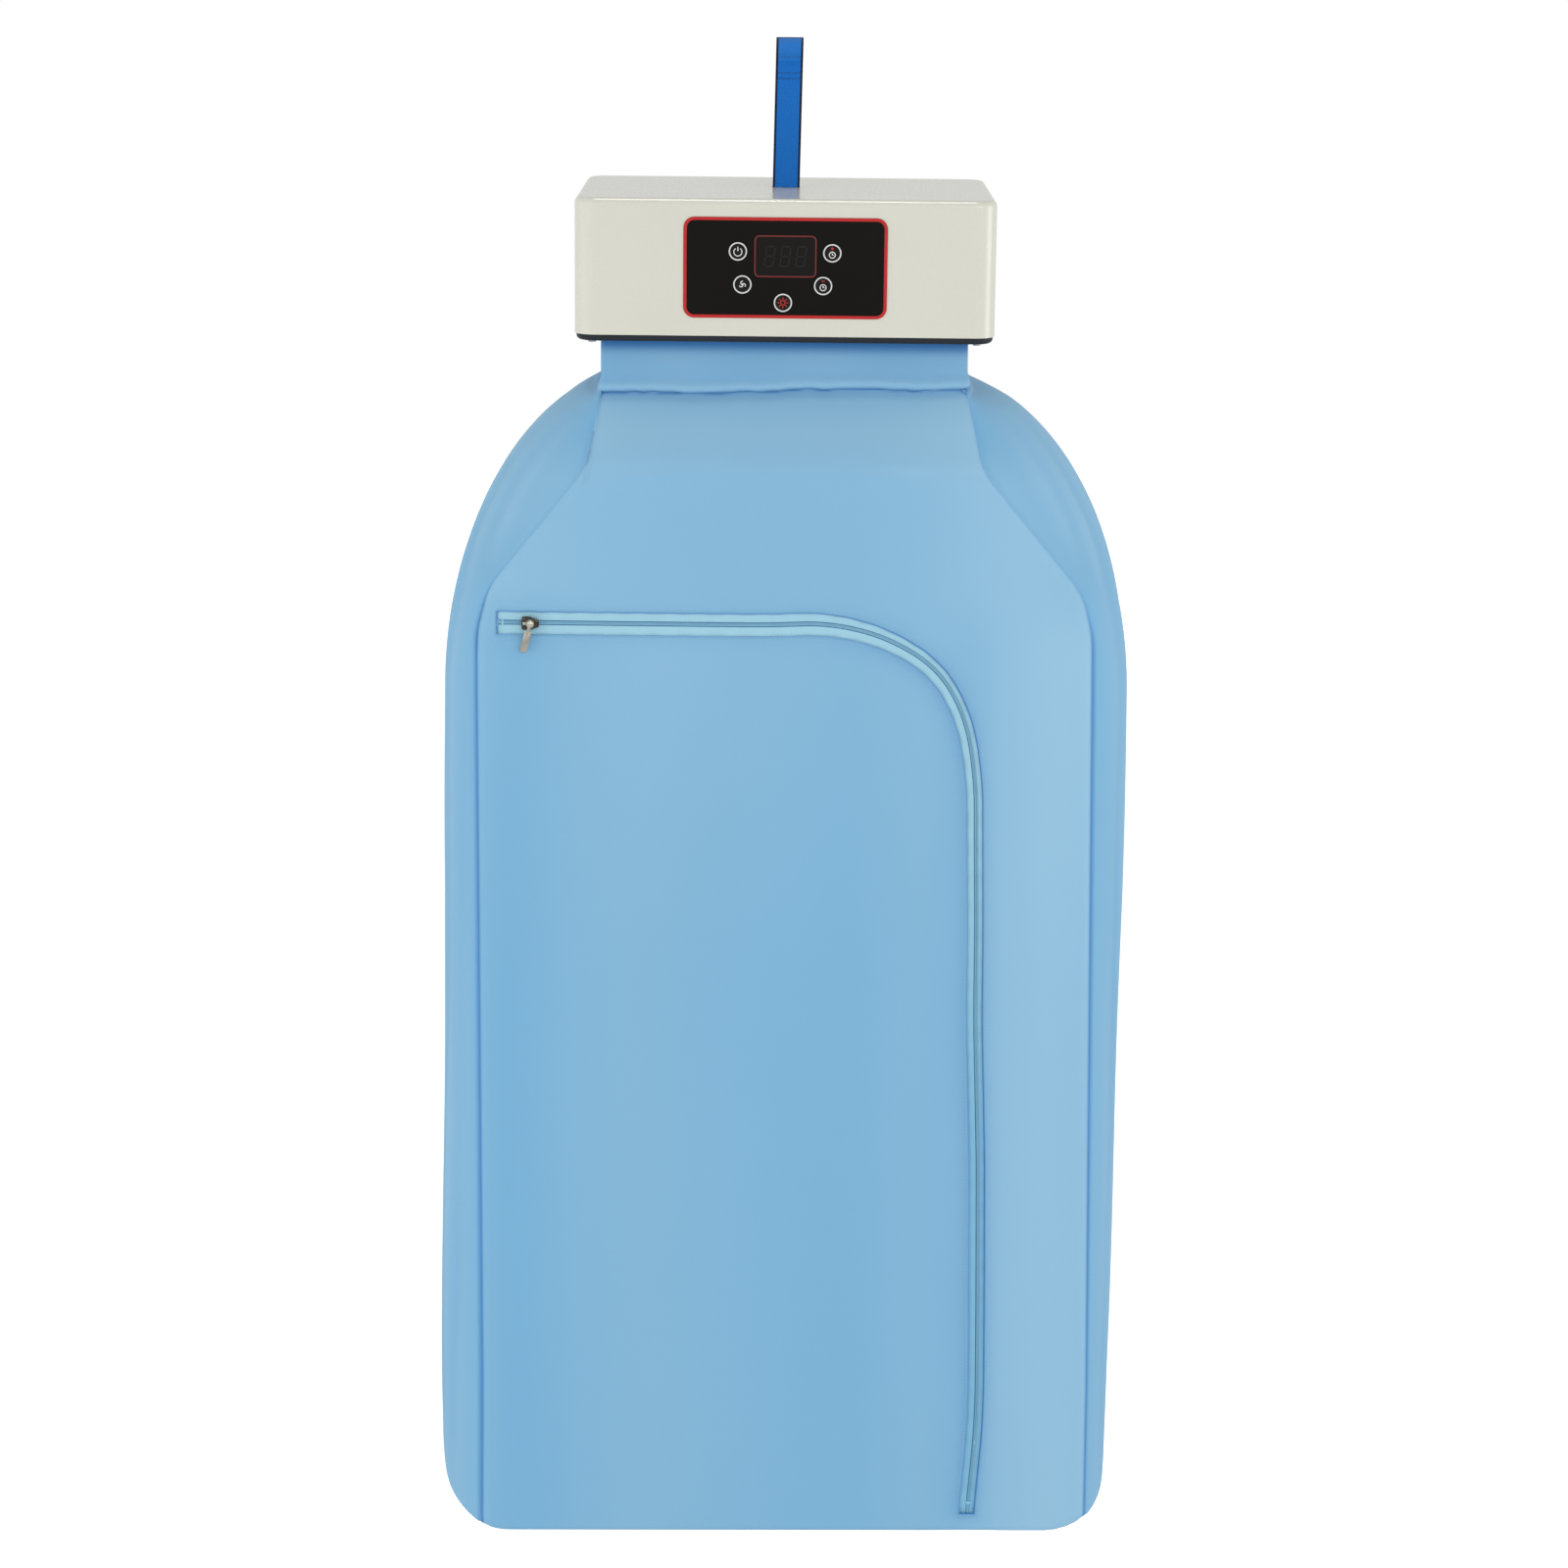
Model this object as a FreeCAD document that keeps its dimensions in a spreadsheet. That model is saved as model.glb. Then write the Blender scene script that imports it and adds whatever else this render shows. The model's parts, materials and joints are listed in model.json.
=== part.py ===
"""Portable clothes dryer: a fan and heater head hung by a strap, with a zipped fabric bag below it.

Millimetres, +Z up, front towards -Y, +X to the viewer's right. The origin is the centre of the strap's
sewn eye, where a hook holds the whole object.
"""

import FreeCAD, Part
import math
import os
from types import SimpleNamespace

import Sketcher

SIZES = {
    # clearances and cuts shared by every piece
    "running_clearance": 0.05,
    "seat_gap": 0.3,
    "overrun": 2.0,
    # hanging strap: doubled webbing with a sewn eye, and a tail looped round a pin inside the head
    "strap_width": 20.5,
    "strap_thickness": 1.2,
    "eye_radius": 7.0,
    "strap_drop": 104.6,
    "strap_pivot_height": 1.5,
    "strap_foot_drop": 1.2,
    "strap_slot_clearance": 0.6,
    "tail_recess": 0.5,
    "anchor_depth": 14.0,
    "anchor_pin_radius": 3.0,
    "anchor_ear_thickness": 4.0,
    "anchor_ear_margin": 3.0,
    # head: moulded cover and base plate with a collar for the bag's neck
    "head_width": 312.0,
    "head_depth": 200.0,
    "head_corner_radius": 16.0,
    "cover_height": 101.0,
    "cover_wall": 2.5,
    "cover_edge_radius": 5.0,
    "cover_boss_radius": 6.0,
    "cover_boss_inset": 13.0,
    "base_thickness": 5.0,
    "base_inset": 1.2,
    "base_edge_radius": 3.5,
    "collar_height": 24.0,
    "collar_wall": 2.0,
    "intake_slot_width": 4.0,
    "intake_slot_length": 52.0,
    "intake_slot_pitch": 9.0,
    "intake_drop": 46.0,
    # fasteners
    "screw_radius": 1.5,
    "screw_head_radius": 2.8,
    "screw_head_height": 1.8,
    "screw_bite": 3.5,
    # control panel
    "panel_width": 150.0,
    "panel_height": 74.0,
    "panel_corner_radius": 8.0,
    "panel_drop": 50.4,
    "panel_recess": 1.2,
    "panel_thickness": 1.8,
    "panel_clearance": 0.2,
    "border_width": 2.2,
    "window_width": 116.0,
    "window_height": 69.0,
    "lens_width": 46.0,
    "lens_height": 31.0,
    "lens_corner_radius": 3.0,
    "lens_rise": 8.6,
    # keys
    "key_radius": 6.9,
    "key_clearance": 0.15,
    "key_proud": 0.3,
    "key_dish": 0.3,
    "key_flange_radius": 8.2,
    "key_flange_thickness": 0.8,
    "key_stem_radius": 2.0,
    "key_travel": 0.6,
    "power_key_x": -35.0,
    "power_key_rise": 12.0,
    "speed_key_x": -31.5,
    "speed_key_rise": -12.3,
    "time_up_key_x": 34.5,
    "time_up_key_rise": 11.3,
    "time_down_key_x": 28.0,
    "time_down_key_rise": -12.8,
    "lamp_key_x": -1.5,
    "lamp_key_rise": -25.5,
    # control board behind the panel
    "board_standoff": 8.0,
    "board_margin": 6.0,
    "board_thickness": 1.6,
    "board_post_radius": 3.5,
    "board_post_margin": 3.5,
    "board_post_rise": 26.0,
    "switch_side": 6.0,
    "plunger_radius": 1.7,
    "plunger_height": 0.8,
    "display_width": 38.0,
    "display_height": 19.0,
    # fan: axial impeller over its motor, in a ring on four legs
    "shroud_drop": 34.0,
    "shroud_radius": 74.0,
    "shroud_wall": 4.0,
    "shroud_height": 36.0,
    "shroud_leg_radius": 3.5,
    "spider_thickness": 4.0,
    "spider_arm_width": 9.0,
    "spider_hub_radius": 24.0,
    "spider_bore_radius": 9.0,
    "motor_radius": 20.0,
    "motor_height": 22.0,
    "motor_nose_radius": 8.0,
    "motor_nose_height": 2.0,
    "motor_bore_depth": 16.0,
    "motor_screw_offset": 14.0,
    "shaft_radius": 2.5,
    "hub_radius": 26.0,
    "hub_height": 22.0,
    "hub_wall": 2.5,
    "hub_gap": 2.0,
    "blade_tip_clearance": 2.0,
    "blade_thickness": 1.6,
    "blade_camber_radius": 30.0,
    "blade_root_run": 15.0,
    "blade_root_rise": 15.0,
    "blade_tip_run": 27.0,
    "blade_tip_rise": 12.0,
    # heater, its frame and the outlet grille under it
    "outlet_width": 160.0,
    "outlet_depth": 98.0,
    "grille_margin": 12.0,
    "grille_thickness": 2.0,
    "grille_slot_width": 5.5,
    "grille_slot_pitch": 10.0,
    "grille_slot_margin": 5.0,
    "frame_width": 136.0,
    "frame_depth": 88.0,
    "frame_height": 22.0,
    "frame_wall": 3.0,
    "frame_ledge": 2.0,
    "core_clearance": 0.2,
    "core_height": 18.0,
    "fin_thickness": 1.2,
    "bar_width": 7.0,
    "cutout_radius": 7.0,
    "cutout_length": 8.0,
    # ultraviolet lamp under the base plate
    "lamp_inset": 38.0,
    "lamp_drop": 11.0,
    "lamp_radius": 4.0,
    "lamp_length": 100.0,
    "lamp_cap_radius": 5.5,
    "lamp_cap_length": 10.0,
    "clip_thickness": 5.0,
    "clip_margin": 2.5,
    # cord inlet in the rear wall
    "inlet_inset": 34.0,
    "inlet_rise": 20.0,
    "inlet_bore_radius": 4.0,
    "inlet_radius": 7.0,
    "inlet_flange_radius": 10.0,
    "inlet_flange_thickness": 3.0,
    "inlet_nut_thickness": 4.0,
    # rack inside the bag: two hung brackets, a hanger rail and two folding shoulder arms
    "rack_clearance": 1.0,
    "rack_plate": 2.5,
    "rack_strip_height": 14.0,
    "rack_lug_radius": 9.0,
    "rack_flange_depth": 13.0,
    "rack_flange_thickness": 2.0,
    "rack_screw_x": 62.0,
    "rail_drop": 44.0,
    "rail_radius": 6.0,
    "rail_spigot_radius": 4.0,
    "arm_pivot_inset": 19.0,
    "arm_pivot_drop": 44.0,
    "arm_bar_gap": 14.0,
    "arm_bar_rise": 9.6,
    "arm_eye_radius": 8.0,
    "arm_eye_width": 8.0,
    "arm_leg_radius": 3.7,
    "arm_bar_radius": 5.0,
    "arm_bar_length": 206.0,
    "arm_pin_radius": 3.0,
    "arm_pin_head_radius": 5.0,
    "arm_pin_head_thickness": 1.5,
    # bag of coated fabric
    "fabric": 1.5,
    "neck_width": 274.0,
    "neck_depth": 160.0,
    "neck_height": 39.0,
    "neck_bulge": 6.0,
    "neck_flare_height": 11.0,
    "yoke_height": 53.0,
    "bend_flare": 9.0,
    "bag_depth": 230.0,
    "arch_height": 240.0,
    "side_taper": 5.0,
    "shoulder_height": 100.0,
    "shoulder_taper": 7.0,
    "corner_height": 47.0,
    "corner_taper": 11.0,
    "side_height": 748.0,
    "bag_width": 541.0,
    "side_bulge": 30.5,
    "hem_round": 34.0,
    "hem_tuck": 9.0,
    # vent eyelets in the bottom panel
    "eyelet_radius": 6.0,
    "eyelet_rim": 3.0,
    "eyelet_rim_thickness": 0.8,
    "eyelet_pitch": 86.0,
    "eyelet_row_offset": 55.0,
    # zip: along the top, round a wide corner and down the right side
    "zip_margin": 11.68,
    "zip_drop": 18.0,
    "zip_side_margin": 88.0,
    "zip_corner_radius": 135.0,
    "zip_end_rise": 16.0,
    "zip_half_gap": 0.6,
    "tape_reach": 8.5,
    "tape_thickness": 1.0,
    "tape_recess": 0.4,
    "tooth_width": 1.9,
    "tooth_height": 1.4,
    "chain_end_gap": 4.0,
    "stop_length": 2.5,
    "fold_gap": 0.5,
    # zip slider and its pull tab
    "slider_offset": 25.0,
    "slider_width": 13.0,
    "slider_height": 11.0,
    "slider_nose_width": 6.0,
    "slider_plate": 1.6,
    "slider_gap": 0.4,
    "slider_web_length": 5.0,
    "slider_web_clearance": 0.2,
    "slider_back_drop": 5.0,
    "stud_radius": 1.2,
    "stud_head_radius": 2.2,
    "stud_head_thickness": 0.9,
    "pull_thickness": 1.5,
    "pull_length": 21.0,
    "pull_width": 6.8,
    "pull_corner_radius": 1.6,
    "pull_eye_radius": 2.8,
    "pull_tilt": 10.0,
}

# how many of each repeated detail
INTAKE_SLOTS = 15
GRILLE_SLOTS = 15
BLADES = 7
FINS = 24
HEATER_BARS = 3
EYELETS_IN_A_ROW = 5

# how near two levels are when they count as one
SAME_LEVEL = 1e-6

doc = FreeCAD.newDocument("clothes_dryer")
sheet = doc.addObject("Spreadsheet::Sheet", "sizes")


class Size:
    """A length worked out from the sheet: its number now, and the expression that keeps it bound."""

    def __init__(self, number, text):
        self.number = number
        self.text = text

    def __add__(self, other):
        return Size(self.number + number(other), f"({self.text} + {text(other)})")

    def __sub__(self, other):
        return Size(self.number - number(other), f"({self.text} - {text(other)})")

    def __mul__(self, other):
        return Size(self.number * number(other), f"({self.text} * {text(other)})")

    def __truediv__(self, other):
        return Size(self.number / number(other), f"({self.text} / {text(other)})")

    def __radd__(self, other):
        return Size(number(other) + self.number, f"({text(other)} + {self.text})")

    def __rsub__(self, other):
        return Size(number(other) - self.number, f"({text(other)} - {self.text})")

    def __rmul__(self, other):
        return Size(number(other) * self.number, f"({text(other)} * {self.text})")

    def __neg__(self):
        return 0 - self


def number(value):
    """The plain number of a Size or of a number."""
    return value.number if isinstance(value, Size) else float(value)


def text(value):
    """The expression of a Size or of a number."""
    return value.text if isinstance(value, Size) else repr(value)


def root(value):
    """The square root of a Size."""
    return Size(math.sqrt(value.number), f"sqrt({value.text})")


def lean(across, along):
    """The angle, in degrees, of a line that goes so far across and so far along."""
    return Size(math.degrees(math.atan2(across.number, along.number)), f"atan({across.text} / {along.text})")


def fill_sheet():
    """Write each size into the sheet under its alias, and hand the sizes back by name."""
    for row, (alias, value) in enumerate(SIZES.items(), start=1):
        sheet.set(f"A{row}", alias)
        sheet.set(f"B{row}", str(value))
        sheet.setAlias(f"B{row}", alias)
    doc.recompute()
    return SimpleNamespace(**{alias: Size(sheet.get(alias), f"sizes.{alias}") for alias in SIZES})


s = fill_sheet()


# Helpers that draw outlines and make features from them

def bind(thing, path, value):
    """Tie one property of an object to the sheet."""
    thing.setExpression(path, text(value))


def circle(u, v, radius):
    """A round outline."""
    return SimpleNamespace(u=u, v=v, radius=radius)


def rectangle(width, height, u=0, v=0):
    """Corners of a rectangle about a centre."""
    return [
        (u - width / 2, v - height / 2),
        (u + width / 2, v - height / 2),
        (u + width / 2, v + height / 2),
        (u - width / 2, v + height / 2),
    ]


def rounded(width, height, radius, u=0, v=0):
    """Corners of a rectangle whose corners are quarter rounds."""
    left, right = u - width / 2, u + width / 2
    low, high = v - height / 2, v + height / 2
    return [
        (left + radius, low),
        (right - radius, low, radius),
        (right, low + radius),
        (right, high - radius, radius),
        (right - radius, high),
        (left + radius, high, radius),
        (left, high - radius),
        (left, low + radius, radius),
    ]


def arc_between(start, end, radius, turn):
    """A short arc; turn is 1 where the outline bends left along it and -1 where it bends right."""
    chord = end - start
    middle = start + chord * 0.5
    rise = math.sqrt(max(radius**2 - chord.Length**2 / 4, 0))
    left = FreeCAD.Vector(-chord.y, chord.x, 0).normalize()
    centre = middle + left * (rise * turn)
    first, last = (start, end) if turn > 0 else (end, start)
    from_angle = math.atan2(first.y - centre.y, first.x - centre.x)
    to_angle = math.atan2(last.y - centre.y, last.x - centre.x)
    if to_angle < from_angle:
        to_angle += 2 * math.pi
    whole = Part.Circle(centre, FreeCAD.Vector(0, 0, 1), radius)
    return Part.ArcOfCircle(whole, from_angle, to_angle)


def held_point(curve, end, u, v):
    """Constraints that hold one point of a sketch at its distances from the origin, each with its size."""
    held = []
    for value, kind, axis in ((u, "DistanceX", -2), (v, "DistanceY", -1)):
        if isinstance(value, Size):
            held.append((Sketcher.Constraint(kind, -1, 1, curve, end, value.number), value))
        else:
            held.append((Sketcher.Constraint("PointOnObject", curve, end, axis), None))
    return held


def held_radius(curve, radius):
    """Constraint that holds an arc or circle at its radius, with its size."""
    return (Sketcher.Constraint("Radius", curve, number(radius)), radius)


def curves_of(outline, first):
    """The curves of a closed outline, numbered from first, and the constraints that hold them."""
    if isinstance(outline, SimpleNamespace):
        centre = FreeCAD.Vector(number(outline.u), number(outline.v), 0)
        whole = Part.Circle(centre, FreeCAD.Vector(0, 0, 1), number(outline.radius))
        return [whole], held_point(first, 3, outline.u, outline.v) + [held_radius(first, outline.radius)]
    points = [FreeCAD.Vector(number(corner[0]), number(corner[1]), 0) for corner in outline]
    curves, ends = [], []
    for corner, start, end in zip(outline, points, points[1:] + points[:1]):
        turn = corner[3] if len(corner) > 3 else 1
        if len(corner) > 2:
            curves.append(arc_between(start, end, number(corner[2]), turn))
        else:
            curves.append(Part.LineSegment(start, end))
        ends.append((1, 2) if turn > 0 else (2, 1))
    held = []
    for i, corner in enumerate(outline):
        after = (i + 1) % len(outline)
        meet = Sketcher.Constraint("Coincident", first + i, ends[i][1], first + after, ends[after][0])
        held.append((meet, None))
        held += held_point(first + i, ends[i][0], corner[0], corner[1])
        if len(corner) > 2:
            held.append(held_radius(first + i, corner[2]))
    return curves, held


def draw(sketch, outlines):
    """Draw closed outlines. A corner is (u, v), or (u, v, radius[, turn]) where an arc starts."""
    curves, held = [], []
    for outline in outlines:
        more_curves, more_held = curves_of(outline, len(curves))
        curves += more_curves
        held += more_held
    sketch.addGeometry(curves)
    sketch.addConstraint([constraint for constraint, _ in held])
    for i, (_, size) in enumerate(held):
        if size is not None:
            bind(sketch, f"Constraints[{i}]", size)


def new_body(label):
    """An empty body named after its sub-part."""
    body = doc.addObject("PartDesign::Body", label)
    body.Label = label
    return body


def origin_part(body, role):
    """One of a body's own origin planes or axes."""
    return next(part for part in body.Origin.OriginFeatures if part.Role == role)


def add_sketch(body, plane, level, outlines):
    """A sketch on one of the body's planes, moved along the plane's normal to a level."""
    sketch = body.newObject("Sketcher::SketchObject", f"{body.Name}_sketch")
    sketch.AttachmentSupport = [(origin_part(body, f"{plane}_Plane"), "")]
    sketch.MapMode = "FlatFace"
    bind(sketch, "AttachmentOffset.Base.z", level)
    draw(sketch, outlines)
    return sketch


def finish_feature(body, feature):
    """Make a new feature the body's result."""
    body.Tip = feature
    doc.recompute()
    return feature


def pad(body, plane, level, length, *outlines):
    """Extrude outlines from a level along the plane's normal: +Z on XY, +X on YZ, to the front on XZ."""
    feature = body.newObject("PartDesign::Pad", f"{body.Name}_pad")
    feature.Profile = add_sketch(body, plane, level, outlines)
    bind(feature, "Length", length)
    return finish_feature(body, feature)


def cut(body, plane, level, depth, *outlines):
    """Cut outlines away from a level along the plane's normal, and make sure that something was cut."""
    before = body.Shape.Volume
    feature = body.newObject("PartDesign::Pocket", f"{body.Name}_cut")
    feature.Profile = add_sketch(body, plane, level, outlines)
    feature.Reversed = True
    bind(feature, "Length", depth)
    finish_feature(body, feature)
    if body.Shape.Volume >= before:
        raise RuntimeError(f"a cut in {body.Label} removed nothing")
    return feature


def repeat_along_x(body, feature, pitch, count):
    """Repeat a feature at a pitch along X."""
    row = body.newObject("PartDesign::LinearPattern", f"{body.Name}_row")
    row.Originals = [feature]
    row.Direction = (origin_part(body, "X_Axis"), [""])
    bind(row, "Length", pitch * (count - 1))
    row.Occurrences = count
    return finish_feature(body, row)


def plate(label, plane, level, thickness, *outlines):
    """A flat piece: the first outline is its edge, and the others are holes."""
    body = new_body(label)
    pad(body, plane, level, thickness, *outlines)
    return body


def loft(body, sections):
    """A straight-ruled loft through outlines at rising or falling levels."""
    sketches = [add_sketch(body, "XY", level, [outline]) for level, outline in sections]
    feature = body.newObject("PartDesign::AdditiveLoft", f"{body.Name}_loft")
    feature.Profile = sketches[0]
    feature.Sections = sketches[1:]
    feature.Ruled = True
    return finish_feature(body, feature)


def turned(label, profile, x=0, y=0, z=0, axis="Z"):
    """A piece turned about its axis from a profile of (radius, height), along Z, or to the front on Y."""
    body = new_body(label)
    feature = body.newObject("PartDesign::Revolution", f"{label}_turn")
    sketch = add_sketch(body, "XZ", 0, [profile])
    feature.Profile = sketch
    feature.ReferenceAxis = (sketch, ["V_Axis"])
    feature.Angle = 360
    finish_feature(body, feature)
    lay(body, x, y, z, FreeCAD.Rotation(FreeCAD.Vector(1, 0, 0), 90) if axis == "Y" else FreeCAD.Rotation())
    return body


def lay(thing, x, y, z, rotation):
    """Turn a piece and bind its place."""
    thing.Placement = FreeCAD.Placement(FreeCAD.Vector(0, 0, 0), rotation)
    bind(thing, "Placement.Base.x", x)
    bind(thing, "Placement.Base.y", y)
    bind(thing, "Placement.Base.z", z)
    doc.recompute()


def group(label, members):
    """Identical or paired solids that share one node."""
    compound = doc.addObject("Part::Compound", label)
    compound.Label = label
    compound.Links = members
    doc.recompute()
    return compound


def round_edges(body, feature, radius, chosen):
    """Fillet the edges of a feature that pass a test."""
    names = [f"Edge{i}" for i, edge in enumerate(feature.Shape.Edges, start=1) if chosen(edge)]
    fillet = body.newObject("PartDesign::Fillet", f"{body.Name}_fillet")
    fillet.Base = (feature, names)
    bind(fillet, "Radius", radius)
    return finish_feature(body, fillet)


def screws(label, places, length, axis="Z", sign=1):
    """Pan-head screws: each head sits at its place and its shank runs the other way along the axis."""
    foot = -length * sign
    top = s.screw_head_height * sign
    profile = [
        (0, foot),
        (s.screw_radius, foot),
        (s.screw_radius, 0),
        (s.screw_head_radius, 0),
        (s.screw_head_radius, top),
        (0, top),
    ]
    if sign < 0:
        profile = profile[::-1]
    members = [turned(f"{label}_{i}", profile, *place, axis) for i, place in enumerate(places)]
    return group(label, members)


def mirrored_places(x, y, z):
    """The four places that mirror each other across both middle planes."""
    return [(side_x, side_y, z) for side_x in (-x, x) for side_y in (-y, y)]


# Levels, down from the eye's centre, and depths, towards the front from the middle plane

head_top = -s.strap_drop
cover_bottom = head_top - s.cover_height
base_bottom = cover_bottom - s.base_thickness
neck_bottom = base_bottom - s.neck_height
bend = neck_bottom - s.yoke_height
shoulder = bend - s.shoulder_height
corner = shoulder - s.corner_height
hem = shoulder - s.side_height

cover_front = s.head_depth / 2
panel_seat = cover_front - s.panel_recess
panel_height_centre = head_top - s.panel_drop
board_front = panel_seat - s.board_standoff
screw_hole = s.screw_radius + s.running_clearance
board_post_x = s.window_width / 2 + s.board_post_radius + s.board_post_margin
inlet_x = s.head_width / 2 - s.inlet_inset

# Half widths of the front and back panels at their seams, from the neck to the hem

neck_half = s.neck_width / 2
bend_half = neck_half + s.bend_flare
hem_half = s.bag_width / 2 - s.side_bulge
corner_half = hem_half - s.corner_taper
shoulder_half = corner_half - s.shoulder_taper
arm_pivot_x = neck_half - s.arm_pivot_inset
lamp_x = s.lamp_inset - neck_half

KEYS = {
    "power_button": (s.power_key_x, s.power_key_rise),
    "speed_button": (s.speed_key_x, s.speed_key_rise),
    "time_up_button": (s.time_up_key_x, s.time_up_key_rise),
    "time_down_button": (s.time_down_key_x, s.time_down_key_rise),
    "lamp_button": (s.lamp_key_x, s.lamp_key_rise),
}


def strap_pieces():
    """Strap with its eye, the tail inside the head and the pin that holds the tail."""
    doubled = s.strap_thickness
    outer = s.eye_radius + s.strap_thickness
    foot = head_top + s.strap_pivot_height - s.strap_foot_drop
    join = root(outer * outer - doubled * doubled)
    strap = plate(
        "hang_strap", "YZ", -s.strap_width / 2, s.strap_width,
        [
            (-doubled, foot),
            (doubled, foot),
            (doubled, -join, outer),
            (outer, 0, outer),
            (0, outer, outer),
            (-outer, 0, outer),
            (-doubled, -join),
        ],
        circle(0, 0, s.eye_radius),
    )
    pin_z = head_top - s.anchor_depth
    hole = s.anchor_pin_radius + s.running_clearance
    loop = hole + s.strap_thickness
    loop_join = root(loop * loop - doubled * doubled)
    tail_top = head_top - s.tail_recess
    tail = plate(
        "strap_tail", "YZ", -s.strap_width / 2, s.strap_width,
        [
            (doubled, tail_top),
            (-doubled, tail_top),
            (-doubled, pin_z + loop_join, loop),
            (-loop, pin_z, loop),
            (0, pin_z - loop, loop),
            (loop, pin_z, loop),
            (doubled, pin_z + loop_join),
        ],
        circle(0, pin_z, hole),
    )
    reach = s.strap_width / 2 + s.seat_gap + s.anchor_ear_thickness
    pin = plate("strap_anchor_pin", "YZ", -reach, reach * 2, circle(0, pin_z, s.anchor_pin_radius))
    return [strap, tail, pin]


def top_cover():
    """Moulded cover, open below, with the panel's seat, the strap's slot, bosses and rear intake slots."""
    cover = new_body("top_cover")
    block = pad(
        cover, "XY", cover_bottom, s.cover_height,
        rounded(s.head_width, s.head_depth, s.head_corner_radius),
    )
    top = number(head_top)
    round_edges(cover, block, s.cover_edge_radius, lambda edge: abs(edge.BoundBox.ZMin - top) < SAME_LEVEL)
    inner_height = s.cover_height - s.cover_wall
    cut(
        cover, "XY", cover_bottom, inner_height,
        rounded(
            s.head_width - s.cover_wall * 2,
            s.head_depth - s.cover_wall * 2,
            s.head_corner_radius - s.cover_wall,
        ),
    )
    cut(
        cover, "XZ", panel_seat, s.panel_recess + s.overrun,
        rounded(
            s.panel_width + s.panel_clearance * 2,
            s.panel_height + s.panel_clearance * 2,
            s.panel_corner_radius + s.panel_clearance,
            0, panel_height_centre,
        ),
    )
    through = s.cover_wall + s.overrun * 2
    cut(
        cover, "XZ", cover_front - s.cover_wall - s.overrun, through,
        rectangle(s.window_width, s.window_height, 0, panel_height_centre),
    )
    slot_gap = s.strap_slot_clearance * 2
    cut(
        cover, "XY", head_top - s.cover_wall - s.overrun, through,
        rectangle(s.strap_width + slot_gap, s.strap_thickness * 2 + slot_gap),
    )
    first_slot = slot_outline(
        s.intake_slot_pitch * ((1 - INTAKE_SLOTS) / 2), head_top - s.intake_drop,
        s.intake_slot_width / 2, s.intake_slot_length,
    )
    intake = cut(cover, "XZ", -cover_front - s.overrun, through, first_slot)
    repeat_along_x(cover, intake, s.intake_slot_pitch, INTAKE_SLOTS)
    inlet_z = cover_bottom + s.inlet_rise
    inlet_hole = circle(inlet_x, inlet_z, s.inlet_radius + s.running_clearance)
    cut(cover, "XZ", -cover_front - s.overrun, through, inlet_hole)
    boss_x = s.head_width / 2 - s.cover_boss_inset
    boss_y = s.head_depth / 2 - s.cover_boss_inset
    into_wall = s.cover_wall / 2
    bosses = [circle(x, y, s.cover_boss_radius) for x, y, _ in mirrored_places(boss_x, boss_y, 0)]
    pad(cover, "XY", cover_bottom, inner_height + into_wall, *bosses)
    holes = [circle(x, y, screw_hole) for x, y, _ in mirrored_places(boss_x, boss_y, 0)]
    cut(cover, "XY", cover_bottom, s.screw_bite * 3, *holes)
    ear_low = head_top - s.anchor_depth - s.anchor_pin_radius - s.anchor_ear_margin
    ear_x = s.strap_width / 2 + s.seat_gap + s.anchor_ear_thickness / 2
    ear_depth = (s.anchor_pin_radius + s.anchor_ear_margin) * 2
    ears = [rectangle(s.anchor_ear_thickness, ear_depth, x, 0) for x in (-ear_x, ear_x)]
    pad(cover, "XY", ear_low, head_top - into_wall - ear_low, *ears)
    ear_reach = ear_x + s.anchor_ear_thickness
    pin_hole = circle(0, head_top - s.anchor_depth, s.anchor_pin_radius + s.running_clearance)
    cut(cover, "YZ", -ear_reach, ear_reach * 2, pin_hole)
    post_places = mirrored_places(board_post_x, s.board_post_rise, 0)
    posts = [circle(x, panel_height_centre + rise, s.board_post_radius) for x, rise, _ in post_places]
    pad(cover, "XZ", board_front, cover_front - s.cover_wall + into_wall - board_front, *posts)
    post_holes = [circle(x, panel_height_centre + rise, screw_hole) for x, rise, _ in post_places]
    cut(cover, "XZ", board_front, s.screw_bite, *post_holes)
    return cover


def slot_outline(u, v, radius, length):
    """An upright slot with round ends."""
    straight = length / 2 - radius
    return [
        (u + radius, v - straight),
        (u + radius, v + straight, radius),
        (u, v + straight + radius, radius),
        (u - radius, v + straight),
        (u - radius, v - straight, radius),
        (u, v - straight - radius, radius),
    ]


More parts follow.
